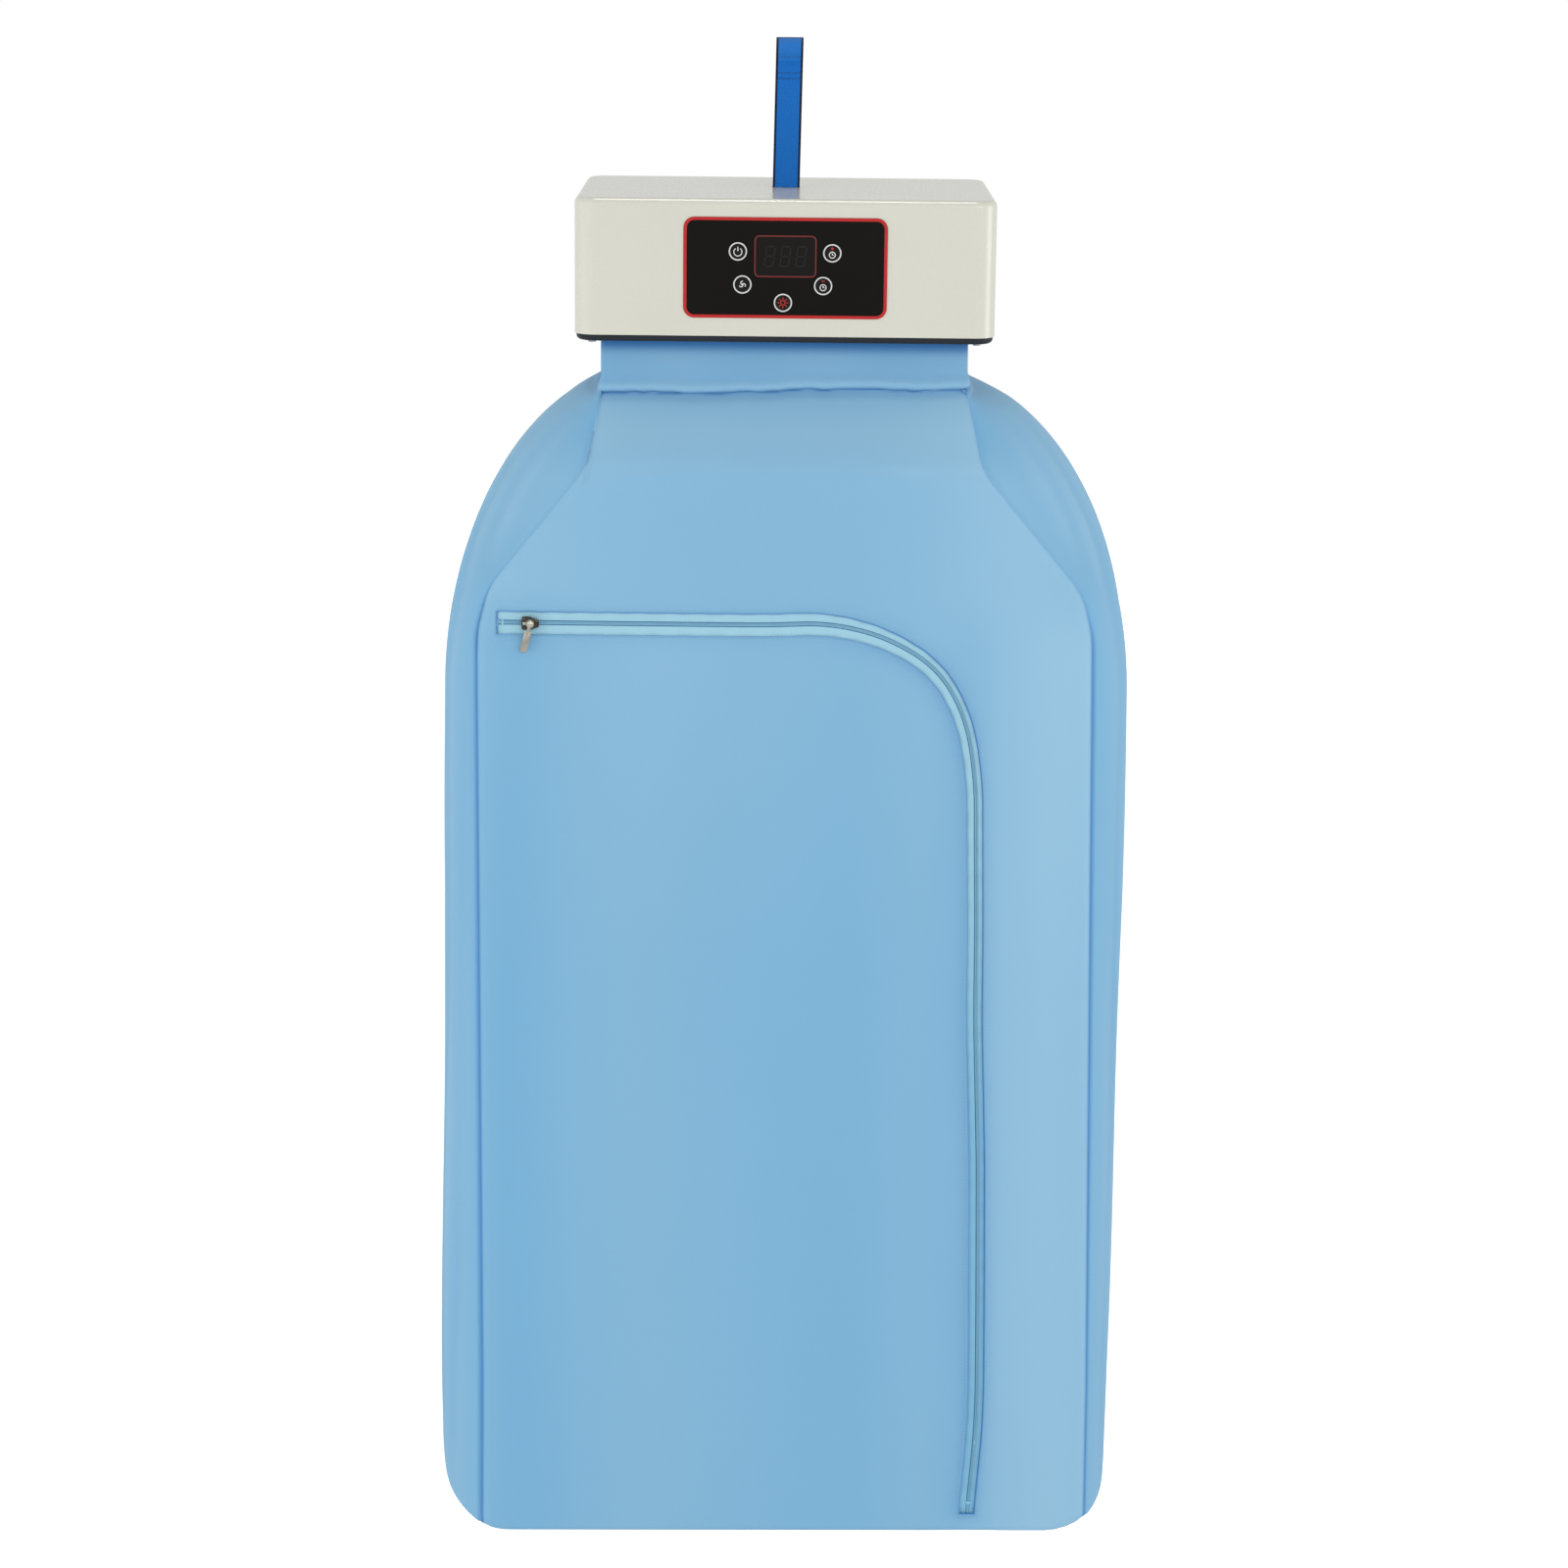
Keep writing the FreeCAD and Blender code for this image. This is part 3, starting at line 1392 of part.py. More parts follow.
def door_pieces():
    """Door flap inside the zip, the two tapes, the two rows of teeth and their end stops."""
    reach, gap = s.tape_reach, s.zip_half_gap
    inner_x = zip_side_x - reach
    flap = plate(
        "door_flap", "XZ", s.bag_depth / 2 - s.fabric, s.fabric,
        [
            (fold_x(zip_top - reach), zip_top - reach),
            (corner_x, zip_top - reach, s.zip_corner_radius - reach, -1),
            (inner_x, corner_z),
            (inner_x, fold_z(inner_x)),
        ],
    )
    tape_front = s.bag_depth / 2 - s.tape_recess
    tape_back = tape_front - s.tape_thickness
    outer_ends = ((zip_start_x, zip_start_x), (zip_end, zip_end))
    outer_tape = zip_strip("zip_tape_outer", gap, reach, tape_back, s.tape_thickness, outer_ends)
    inner_ends = (
        (fold_x(zip_top - reach), fold_x(zip_top - gap)),
        (fold_z(inner_x), fold_z(zip_side_x - gap)),
    )
    inner_tape = zip_strip("zip_tape_inner", -reach, -gap, tape_back, s.tape_thickness, inner_ends)
    row = gap + s.tooth_width
    chain_x = fold_x(zip_top - row) + s.chain_end_gap
    chain_z = fold_z(zip_side_x - row) + s.chain_end_gap
    chain_ends = ((chain_x, chain_x), (chain_z, chain_z))
    outer_teeth = zip_strip("zip_teeth_outer", gap, row, tape_front, s.tooth_height, chain_ends)
    inner_teeth = zip_strip("zip_teeth_inner", -row, -gap, tape_front, s.tooth_height, chain_ends)
    stop_width = s.tooth_width * 2
    start_stop = plate(
        "zip_start_stop", "XZ", tape_front, s.tooth_height,
        rectangle(
            s.stop_length, stop_width,
            chain_x - s.seat_gap - s.stop_length / 2, zip_top + gap + s.tooth_width,
        ),
    )
    end_stop = plate(
        "zip_end_stop", "XZ", tape_front, s.tooth_height,
        rectangle(
            stop_width, s.stop_length,
            zip_side_x + gap + s.tooth_width, chain_z - s.seat_gap - s.stop_length / 2,
        ),
    )
    stops = group("zip_stops", [start_stop, end_stop])
    strips = [outer_tape, inner_tape, outer_teeth, inner_teeth]
    return [flap] + strips + [stops] + slider_pieces(tape_front, tape_back)


def slider_pieces(tape_front, tape_back):
    """Slider with a front plate over the teeth and a back lip under the door's tape, and its pull."""
    x = zip_start_x + s.slider_offset
    plate_back = tape_front + s.tooth_height + s.slider_gap
    plate_front = plate_back + s.slider_plate
    half, nose = s.slider_height / 2, s.slider_nose_width / 2
    slider = plate(
        "zip_slider", "XZ", plate_back, s.slider_plate,
        [
            (x - s.slider_width / 2, zip_top - nose),
            (x, zip_top - half),
            (x + s.slider_width / 2, zip_top - half),
            (x + s.slider_width / 2, zip_top + half),
            (x, zip_top + half),
            (x - s.slider_width / 2, zip_top + nose),
        ],
    )
    web_half = s.zip_half_gap - s.slider_web_clearance
    lip_front = tape_back - s.slider_gap
    lip_back = lip_front - s.slider_plate
    web = rectangle(s.slider_web_length, web_half * 2, x, zip_top)
    pad(slider, "XZ", lip_back, plate_back + s.slider_plate / 2 - lip_back, web)
    lip = [
        (x - s.slider_width / 2, zip_top - s.slider_back_drop),
        (x + s.slider_width / 2, zip_top - s.slider_back_drop),
        (x + s.slider_width / 2, zip_top + web_half),
        (x - s.slider_width / 2, zip_top + web_half),
    ]
    pad(slider, "XZ", lip_back, s.slider_plate, lip)
    head_face = plate_front + s.pull_thickness + s.seat_gap * 2
    stud = circle(x, zip_top, s.stud_radius)
    pad(slider, "XZ", plate_front - s.slider_plate / 2, head_face - plate_front + s.slider_plate / 2, stud)
    pad(slider, "XZ", head_face, s.stud_head_thickness, circle(x, zip_top, s.stud_head_radius))
    eye = s.pull_eye_radius
    neck = root(eye * eye - s.stud_radius * s.stud_radius)
    wide = s.pull_width / 2
    foot = -s.pull_length
    top = foot / 3
    round_end = s.pull_corner_radius
    pull = plate(
        "zip_pull", "XZ", plate_front + s.seat_gap, s.pull_thickness,
        [
            (s.stud_radius, -neck, eye),
            (eye, 0, eye),
            (0, eye, eye),
            (-eye, 0, eye),
            (-s.stud_radius, -neck),
            (-s.stud_radius, top),
            (-wide, top - round_end),
            (-wide, foot + round_end, round_end),
            (-wide + round_end, foot),
            (wide - round_end, foot, round_end),
            (wide, foot + round_end),
            (wide, top - round_end),
            (s.stud_radius, top),
        ],
        circle(0, 0, s.stud_radius + s.running_clearance),
        rectangle(s.pull_width / 2, s.pull_length / 4, 0, foot * 2 / 3),
    )
    lay(pull, x, 0, zip_top, FreeCAD.Rotation(FreeCAD.Vector(0, 1, 0), 1))
    bind(pull, "Placement.Rotation.Angle", s.pull_tilt)
    doc.recompute()
    return [slider, pull]


def cover_screws():
    """Four screws up through the base plate into the cover's bosses."""
    boss_x = s.head_width / 2 - s.cover_boss_inset
    boss_y = s.head_depth / 2 - s.cover_boss_inset
    places = mirrored_places(boss_x, boss_y, base_bottom)
    return screws("cover_screws", places, s.base_thickness + s.screw_bite * 2, "Z", -1)


nodes = (
    strap_pieces()
    + [top_cover(), base_plate(), cover_screws(), cord_inlet()]
    + panel_pieces()
    + board_pieces()
    + fan_pieces()
    + heater_pieces()
    + lamp_pieces()
    + rack_pieces()
    + bag_pieces()
    + door_pieces()
)

doc.recompute()
for thing in doc.Objects:
    if {"Invalid", "Error"} & set(thing.State):
        raise RuntimeError(f"{thing.Label} failed: {thing.State}")
for node in nodes:
    if node.Shape.isNull() or not node.Shape.isValid():
        raise RuntimeError(f"{node.Label} has no valid shape")

os.makedirs("parts", exist_ok=True)
for node in nodes:
    node.Shape.exportStep(f"parts/{node.Label}.step")
print(len(nodes), "sub-parts written")
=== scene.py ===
# %% [markdown]
# # A portable clothes dryer, dressed for its photograph
# The dryer is a small warm-air head that hangs from a strap, with a zipped bag of light-blue cloth below
# it. The hard parts come from the CAD model and are already in place. This lesson sews the bag, zip and
# strap round them, prints the control panel, paints every part with procedural materials and lights a
# white studio.

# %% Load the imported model
import contextlib
import json
import math

import bpy
import numpy as np
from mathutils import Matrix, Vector


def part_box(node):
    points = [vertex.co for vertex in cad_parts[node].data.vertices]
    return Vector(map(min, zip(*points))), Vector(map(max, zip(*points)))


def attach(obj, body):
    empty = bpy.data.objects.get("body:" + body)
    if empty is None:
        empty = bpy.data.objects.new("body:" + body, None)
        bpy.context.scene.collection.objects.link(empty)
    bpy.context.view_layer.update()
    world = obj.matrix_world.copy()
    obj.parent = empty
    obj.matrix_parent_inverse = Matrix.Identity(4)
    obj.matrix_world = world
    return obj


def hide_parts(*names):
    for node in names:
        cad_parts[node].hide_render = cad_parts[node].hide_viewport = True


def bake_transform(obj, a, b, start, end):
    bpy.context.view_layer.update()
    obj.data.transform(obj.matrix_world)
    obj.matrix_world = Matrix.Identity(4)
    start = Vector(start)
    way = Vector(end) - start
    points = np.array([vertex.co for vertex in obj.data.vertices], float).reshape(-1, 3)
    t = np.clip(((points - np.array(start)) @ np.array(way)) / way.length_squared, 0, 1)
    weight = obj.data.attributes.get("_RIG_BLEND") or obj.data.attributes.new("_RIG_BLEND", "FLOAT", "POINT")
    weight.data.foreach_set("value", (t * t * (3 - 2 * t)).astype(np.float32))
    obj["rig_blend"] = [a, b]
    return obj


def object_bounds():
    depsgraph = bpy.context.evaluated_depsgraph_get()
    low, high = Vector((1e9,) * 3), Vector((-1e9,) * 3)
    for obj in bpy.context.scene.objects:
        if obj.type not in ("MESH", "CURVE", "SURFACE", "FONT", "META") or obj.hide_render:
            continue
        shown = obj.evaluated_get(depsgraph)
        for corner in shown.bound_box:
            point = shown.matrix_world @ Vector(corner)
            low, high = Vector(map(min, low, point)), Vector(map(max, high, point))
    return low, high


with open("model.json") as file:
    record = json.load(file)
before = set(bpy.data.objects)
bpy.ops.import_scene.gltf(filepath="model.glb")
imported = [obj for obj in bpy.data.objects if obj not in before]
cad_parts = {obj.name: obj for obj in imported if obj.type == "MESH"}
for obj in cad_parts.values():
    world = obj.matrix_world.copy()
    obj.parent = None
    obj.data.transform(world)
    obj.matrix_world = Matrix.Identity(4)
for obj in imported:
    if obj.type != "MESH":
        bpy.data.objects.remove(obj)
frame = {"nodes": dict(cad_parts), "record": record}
nodes = frame["nodes"]
cad_box = [list(corner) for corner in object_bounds()]
print("CAD box in metres", [round(high - low, 4) for low, high in zip(*cad_box)])

# %% [markdown]
# ## Small helpers
# Blender's operators work on whatever is selected and active, and loading the model leaves its parts
# selected. So each piece is made with nothing else selected. These helpers pick one piece, name it, and
# settle it, which means that its modifiers and its place go into its mesh.

# %% Helpers for picking and settling a piece
def deselect():
    bpy.ops.object.select_all(action="DESELECT")


def pick(piece):
    deselect()
    piece.select_set(True)
    bpy.context.view_layer.objects.active = piece


def named(name):
    piece = bpy.context.object
    piece.name = name
    piece.data.name = name
    return piece


def settle(piece):
    pick(piece)
    for modifier in list(piece.modifiers):
        bpy.ops.object.modifier_apply(modifier=modifier.name)
    bpy.ops.object.transform_apply(location=True, rotation=True, scale=True)
    return piece


def join(name, pieces):
    deselect()
    for piece in pieces:
        piece.select_set(True)
    bpy.context.view_layer.objects.active = pieces[0]
    bpy.ops.object.join()
    return named(name)


def hand_over(piece, body, slot, finish, *stands_for):
    """Paints a finished piece, lets it move with a body and hides the plain parts it stands for.

    A blended piece already follows its two bodies, so it isn't put on one.
    """
    piece.data.materials.clear()
    piece.data.materials.append(finish.material)
    if "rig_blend" not in piece:
        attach(piece, body)
    if stands_for:
        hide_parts(*stands_for)
    print(piece.name, "on", body, "with", len(piece.data.polygons), "faces")


print(len(nodes), "CAD parts are in place")

# %% [markdown]
# ## The camera
# The photograph was taken from in front and a little above, so the top of the head just shows and the bag
# narrows towards the floor. The whole picture leans clockwise by about half a degree. A long lens keeps
# the upright lines nearly parallel. The turn about the view line comes first, so the rotation order is
# ZYX.

# %% Camera
scene = bpy.context.scene
CAMERA_PITCH, CAMERA_ROLL = 12.67, 0.6
bpy.ops.object.camera_add(location=(0.0, -2.8, 0.1336))
camera = bpy.context.object
camera.rotation_mode = "ZYX"
camera.rotation_euler = (math.radians(90 - CAMERA_PITCH), 0.0, math.radians(CAMERA_ROLL))
camera.data.sensor_width = 36.0
camera.data.lens = 84.1
camera.data.shift_x = 0.002
camera.data.shift_y = -0.06
scene.camera = camera
scene.view_settings.view_transform = "Standard"
print("camera", camera.data.lens, "mm lens")

# %% [markdown]
# ## Writing materials as sums
# A procedural material is a graph of small nodes. Placing each node by hand makes long scripts, so a
# class wraps one socket and overloads the arithmetic signs. Then `1 - edge * 0.5` adds its own Math
# nodes. A second class holds a node tree, and its one `node` method adds a node of any other kind:
# settings first, then the sockets.

# %% A socket that does sums
class Value:
    """A socket whose sums add Math nodes to its tree."""

    def __init__(self, graph, socket):
        self.graph = graph
        self.socket = socket

    def math(self, operation, first, second):
        return self.graph.node("ShaderNodeMath", {"operation": operation}, {0: first, 1: second})

    def __add__(self, other):
        return self.math("ADD", self, other)

    def __sub__(self, other):
        return self.math("SUBTRACT", self, other)

    def __rsub__(self, other):
        return self.math("SUBTRACT", other, self)

    def __mul__(self, other):
        return self.math("MULTIPLY", self, other)

    def __gt__(self, other):
        return self.math("GREATER_THAN", self, other)

    def __lt__(self, other):
        return self.math("LESS_THAN", self, other)

    def __or__(self, other):
        return self.math("MAXIMUM", self, other)

    __radd__, __rmul__, __ror__ = __add__, __mul__, __or__


print("sockets can be added, subtracted, multiplied and compared")

# %% Node trees, materials and colours
class Graph:
    """A node tree that grows one node at a time."""

    def __init__(self, tree):
        self.tree = tree

    def feed(self, socket, value):
        if isinstance(value, Value):
            self.tree.links.new(value.socket, socket)
        else:
            socket.default_value = value

    def node(self, kind, settings=None, inputs=None, output=0):
        made = self.tree.nodes.new(kind)
        for name, value in (settings or {}).items():
            setattr(made, name, value)
        for name, value in (inputs or {}).items():
            self.feed(made.inputs[name], value)
        return Value(self, made.outputs[output])

    def mix(self, share, first, second):
        return self.node("ShaderNodeMix", {"data_type": "RGBA"}, {0: share, 6: first, 7: second}, 2)

    def noise(self, place, scale, detail=2.0, stretch=None):
        if stretch:
            place = self.node("ShaderNodeVectorMath", {"operation": "MULTIPLY"}, {0: place, 1: stretch})
        return self.node("ShaderNodeTexNoise", None, {"Vector": place, "Scale": scale, "Detail": detail})

    def ripple(self, place, axis, scale):
        settings = {"bands_direction": axis}
        return self.node("ShaderNodeTexWave", settings, {"Vector": place, "Scale": scale}, "Fac")

    def size(self, value):
        return self.node("ShaderNodeMath", {"operation": "ABSOLUTE"}, {0: value})

    def attribute(self, name):
        return self.node("ShaderNodeAttribute", {"attribute_name": name}, output="Fac")

    def place(self):
        return self.node("ShaderNodeTexCoord", output="Object")

    def bump(self, height, strength, distance):
        inputs = {"Height": height, "Strength": strength, "Distance": distance}
        return self.node("ShaderNodeBump", None, inputs)


class Finish(Graph):
    """One material with a Principled surface."""

    def __init__(self, name, constants):
        self.material = bpy.data.materials.new(name)
        self.material.use_nodes = True
        super().__init__(self.material.node_tree)
        self.surface = self.tree.nodes["Principled BSDF"]
        self.set(constants)

    def set(self, inputs):
        for name, value in inputs.items():
            self.feed(self.surface.inputs[name], value)


def paint(red, green, blue):
    """A screen colour from 0 to 255 as the linear colour that a socket takes."""
    shares = [level / 255 for level in (red, green, blue)]
    return (*(s / 12.92 if s <= 0.04045 else ((s + 0.055) / 1.055) ** 2.4 for s in shares), 1.0)


print("middle grey as a linear colour", round(paint(128, 128, 128)[0], 3))

# %% [markdown]
# ## The studio
# The photograph is a cut-out on white, lit softly from all round with a little more from above and in
# front. One white world gives the even light and the white that shows behind. Its strength is full where
# the camera or clear plastic looks at it, less in a glossy face, and lowest where it lights cloth, so
# painted colours stay. Broad area lights in front and beside it add the soft shading that shows the
# folds. The two beside it are kept out of gloss, where they would leave pale patches. Two more only show
# in gloss: they draw the bright lines on the head's rounded edges. The dryer hangs, so its floor is well
# below.

# %% World, lights and floor
world = bpy.data.worlds.new("white_studio")
world.use_nodes = True
scene.world = world
sky = Graph(world.node_tree)
rays = ("Is Camera Ray", "Is Transmission Ray", "Is Glossy Ray")
by_camera, through_plastic, in_gloss = (sky.node("ShaderNodeLightPath", output=ray) for ray in rays)
seen = by_camera | through_plastic
background = world.node_tree.nodes["Background"]
background.inputs["Color"].default_value = (1.0, 1.0, 1.0, 1.0)
SKY_LIGHT = 0.60
SKY_GLOSS = 0.82
strength = SKY_LIGHT + seen * (1.0 - SKY_LIGHT) + in_gloss * (SKY_GLOSS - SKY_LIGHT)
sky.feed(background.inputs["Strength"], strength)


def soft_light(name, place, turn, width, power, shades=True, shines=True):
    """A square light, turned by three angles in degrees. It shades cloth, shines in gloss, or both."""
    bpy.ops.object.light_add(type="AREA", location=place, rotation=[math.radians(angle) for angle in turn])
    light = named(name)
    light.data.shape = "SQUARE"
    light.data.size = width
    light.data.energy = power
    light.visible_diffuse = shades
    light.visible_glossy = shines


soft_light("key_light", (1.3, -3.0, 0.9), (65, 0, 23), 2.0, 22.0)
soft_light("fill_light", (-2.0, -2.8, 0.5), (72, 0, -36), 2.0, 9.0)
soft_light("left_light", (-2.4, -0.9, -0.3), (90, 0, -70), 1.6, 19.0, shines=False)
soft_light("right_light", (2.4, -0.9, -0.3), (90, 0, 70), 1.6, 16.0, shines=False)
soft_light("top_glint", (0.0, -0.2, 1.5), (0, 0, 0), 0.7, 12.0, shades=False)
soft_light("side_glint", (1.8, -0.35, -0.15), (90, 0, 81), 0.8, 5.0, shades=False)

FLOOR_DROP, FLOOR_SIZE = 0.45, 16.0
bpy.ops.mesh.primitive_plane_add(size=FLOOR_SIZE, location=(0.0, 0.0, cad_box[0][2] - FLOOR_DROP))
floor = named("studio_floor")
matt_glow = {"Roughness": 0.9, "Specular IOR Level": 0.0, "Emission Strength": 1.0}
floor_finish = Finish("studio_floor", matt_glow)
floor_camera = floor_finish.node("ShaderNodeLightPath", output="Is Camera Ray")
floor_clouds = floor_finish.noise(floor_finish.place(), 2.0)
floor_finish.set({
    "Base Color": floor_finish.mix(floor_clouds, paint(250, 250, 250), paint(254, 254, 254)),
    "Emission Color": floor_finish.mix(floor_camera, (0.0, 0.0, 0.0, 1.0), (0.6, 0.6, 0.6, 1.0)),
})
floor.data.materials.append(floor_finish.material)
print("floor at", round(floor.location.z, 3))

# %% [markdown]
# ## Finishes of the hard parts
# Moulded plastic, paint and metal share one recipe. Slow clouds move between two close colours, as real
# mouldings do, and a fine grain varies the gloss and dents the surface a little. So each recipe lists its
# two colours, its roughness, the waves a metre of its grain, how deep they dent, and what else is set on
# the surface.

# %% Finishes for plastic, paint and metal
def moulded(name, first, second, roughness, grain, dent=0.02, constants=None, painted_shade_colour=None):
    """A hard finish: colour clouds, and a grain in gloss and bump.

    A colour of painted shade lies where the shade attribute says.
    """
    finish = Finish(name, constants or {})
    place = finish.place()
    clouds = finish.noise(place, 11.0, 3.0)
    grains = finish.noise(place, grain, 3.0)
    colour = finish.mix(clouds, paint(*first), paint(*second))
    # Painted shade: recesses that a piece marks take this darker colour.
    if painted_shade_colour:
        colour = finish.mix(finish.attribute("painted_shade"), colour, paint(*painted_shade_colour))
    finish.set({
        "Base Color": colour,
        "Roughness": roughness + (grains - 0.5) * 0.12,
        "Normal": finish.bump(grains, dent, 0.0004),
    })
    return finish


METAL = {"Metallic": 1.0}
RECIPES = {
    "cover_plastic": ((215, 215, 202), (209, 209, 196), 0.26, 900, 0.02, {"Coat Weight": 0.25}),
    "base_plastic": ((28, 31, 38), (36, 40, 48), 0.42, 1200, 0.05, {"Specular IOR Level": 0.25}),
    "fascia_black": ((12, 11, 9), (18, 17, 14), 0.3, 1500, 0.01, {"Specular IOR Level": 0.1}),
    "border_red": ((180, 12, 13), (192, 18, 18), 0.3, 900),
    "smoked_lens": ((20, 19, 17), (25, 23, 21), 0.14, 700, 0.005, {"Specular IOR Level": 0.12}),
    "key_black": ((22, 21, 19), (30, 28, 25), 0.3, 1600, 0.02, {"Specular IOR Level": 0.12}),
    "steel": ((168, 170, 174), (190, 192, 196), 0.34, 2200, 0.05, METAL),
    "rack_coating": ((222, 223, 222), (232, 232, 230), 0.42, 2600, 0.12),
    "inner_plastic": ((46, 47, 51), (58, 58, 62), 0.5, 1800, 0.1),
    "heater_frame": ((148, 136, 116), (160, 148, 128), 0.6, 1500, 0.12),
    "heater_fins": ((192, 194, 198), (206, 207, 210), 0.36, 2400, 0.05, METAL),
    "board_green": ((24, 84, 48), (34, 98, 58), 0.45, 2000, 0.05),
    "display_red": ((70, 12, 12), (86, 18, 16), 0.3, 900),
    "bright_metal": ((214, 208, 196), (228, 224, 214), 0.22, 3000, 0.03, METAL),
    "lamp_glass": ((222, 232, 246), (232, 240, 250), 0.08, 700, 0.0, {"Transmission Weight": 0.8}),
}
FINISHES = {name: moulded(name, *recipe) for name, recipe in RECIPES.items()}
SOFT_SLOTS = {"bag_fabric", "zip_tape", "zip_teeth", "webbing"}
for part in frame["record"]["subparts"]:
    if part["material_slot"] not in SOFT_SLOTS:
        node = nodes[part["node"]]
        node.data.materials.clear()
        node.data.materials.append(FINISHES[part["material_slot"]].material)
print(len(FINISHES), "hard finishes on the CAD parts")

# %% [markdown]
# ## Finish of the bag cloth
# The bag is a smooth coated cloth with a slight sheen. Seen close, a fine plain weave shows in the light.
# Seen from further away, its colour follows its folds. So each sewn piece carries two attributes that the
# colour reads, and both paint light and shade into it. The shade attribute is painted shade, a dark blue,
# in the seams, beside the zip and under the head. Fold is painted shade, a richer blue, in a valley and
# painted light, a paler blue, on a ridge.

# %% Finish of the bag cloth
def bag_cloth():
    finish = Finish("bag_fabric", {"Specular IOR Level": 0.15})
    place = finish.place()
    bands = finish.noise(place, 7.0, 2.0, (1.0, 1.0, 0.12))
    clouds = finish.noise(place, 4.0, 3.0)
    threads = finish.noise(place, 900.0, 2.0)
    painted_shade, fold = finish.attribute("painted_shade"), finish.attribute("fold")
    weave = finish.ripple(place, "X", 420.0) * finish.ripple(place, "Z", 420.0)
    cloth = finish.mix(bands * 0.6 + clouds * 0.4, paint(127, 178, 211), paint(136, 184, 215))
    # Painted shade and light: the fold attribute turns the cloth a richer blue in a valley and paler on a
    # ridge.
    cloth = finish.mix(fold * -0.32, cloth, paint(92, 166, 212))
    cloth = finish.mix(fold * 0.19, cloth, paint(180, 216, 234))
    # Painted shade: the shade attribute darkens the cloth to a deep blue in seams, beside the zip and under
    # the head.
    finish.set({
        "Base Color": finish.mix(painted_shade, cloth, paint(50, 116, 184)),
        "Roughness": 0.56 + (threads - 0.5) * 0.16,
        "Normal": finish.bump(weave + threads * 0.6, 0.12, 0.0002),
    })
    return finish


cloth_finish = bag_cloth()
print("cloth finish has", len(cloth_finish.tree.nodes), "nodes")

# %% Finishes of tape, webbing, teeth and thread
CREST_SHARE = 0.11


def woven(name, cloth, ribs, edge, edge_share, across, along, stripe=(2.0, 0.0), top=(0.0, 0.0)):
    """Narrow woven goods: UV x runs across the strip and UV y along it.

    A stripe of the edge's colour lies at one share across, with its half width. A band in the middle of the
    length, top, has its half length and how much paler it is, with a line of the edge's colour at its crest,
    which is painted shade where the strip folds over. A shade attribute paints shade on the goods.
    """
    finish = Finish(name, {"Sheen Weight": 0.05, "Specular IOR Level": 0.25})
    uv = finish.node("ShaderNodeUVMap")
    width, length = (finish.node("ShaderNodeSeparateXYZ", None, {0: uv}, axis) for axis in (0, 1))
    border = (finish.size(width - 0.5) > 0.5 - edge_share) | (finish.size(width - stripe[0]) < stripe[1])
    from_crest = finish.size(length - 0.5)
    # Painted shade: a dark line at the crest, where the webbing folds over into its eye.
    border = border | (from_crest < top[0] * CREST_SHARE)
    pale = (from_crest < top[0]) * top[1]
    weft = finish.ripple(uv, "Y", along)
    warp = finish.ripple(uv, "X", across)
    place = finish.place()
    fuzz = finish.noise(place, 1300.0, 2.0)
    body = finish.mix(weft * 0.5 + fuzz * 0.5, paint(*cloth), paint(*ribs))
    body = finish.mix(pale, body, paint(92, 166, 226))
    # Painted shade: the shade attribute darkens the tape lower down the zip.
    body = finish.mix(finish.attribute("painted_shade"), body, paint(130, 188, 218))
    finish.set({
        "Base Color": finish.mix(border, body, paint(*edge)),
        "Roughness": 0.72 + (fuzz - 0.5) * 0.2,
        "Normal": finish.bump(weft + warp * 0.7 + fuzz * 0.4, 0.3, 0.0003),
    })
    return finish


tape_finish = woven("zip_tape", (152, 201, 221), (168, 212, 228), (46, 104, 150), 0.0, 3.0, 190.0,
                    stripe=(0.856, 0.036))
# The webbing's dark line at the crest of its eye is painted shade.
strap_finish = woven("webbing", (4, 99, 186), (12, 111, 196), (6, 18, 44), 0.085, 5.0, 60.0,
                     top=(0.094, 0.1))
teeth_finish = moulded("zip_teeth", (128, 184, 212), (142, 196, 220), 0.4, 2500, 0.05)
pale_thread = moulded("pale_thread", (128, 182, 212), (146, 196, 220), 0.8, 3000, 0.3)
navy_thread = moulded("navy_thread", (22, 62, 118), (32, 78, 140), 0.8, 3000, 0.3)
print("webbing finish has", len(strap_finish.tree.nodes), "nodes")

# %% [markdown]
# ## The pattern of the bag
# A sewn bag starts from a paper pattern, and so does this one. The pattern says, at each height, how far
# out the front seams are, how deep the bag is and how far its sides bulge. The sizes at the ends come
# from the CAD parts. The cloth is a lofted shell: each panel is a grid whose points are put on one of
# these smooth functions, so two panels that share a seam meet exactly. Corners of the pattern are rounded
# by averaging over a short reach.

# %% Levels and widths of the bag
neck_low, neck_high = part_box("neck_sleeve")
front_low, front_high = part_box("front_panel")
side_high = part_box("right_gusset")[1]
tape_low, tape_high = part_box("zip_tape_outer")
NECK, HEM = neck_low.z, front_low.z
BEND, SHOULDER, CORNER = NECK - 0.0535, NECK - 0.1465, NECK - 0.1775
LEVELS = [HEM, CORNER, SHOULDER, BEND, NECK]
SEAM_HALVES = [front_high.x - 0.0015, 0.2312, 0.2232, 0.1470, neck_high.x]
DEPTHS = [-front_low.y, -front_low.y, -front_low.y, -front_low.y, neck_high.y]
GROOVES = [0.0030, 0.0032, 0.0022, 0.0012, 0.0010]
HEM_ROUND, HEM_CURL, LEFT_TUCK, RIGHT_TUCK = 0.034, 0.006, 0.007, 0.0015
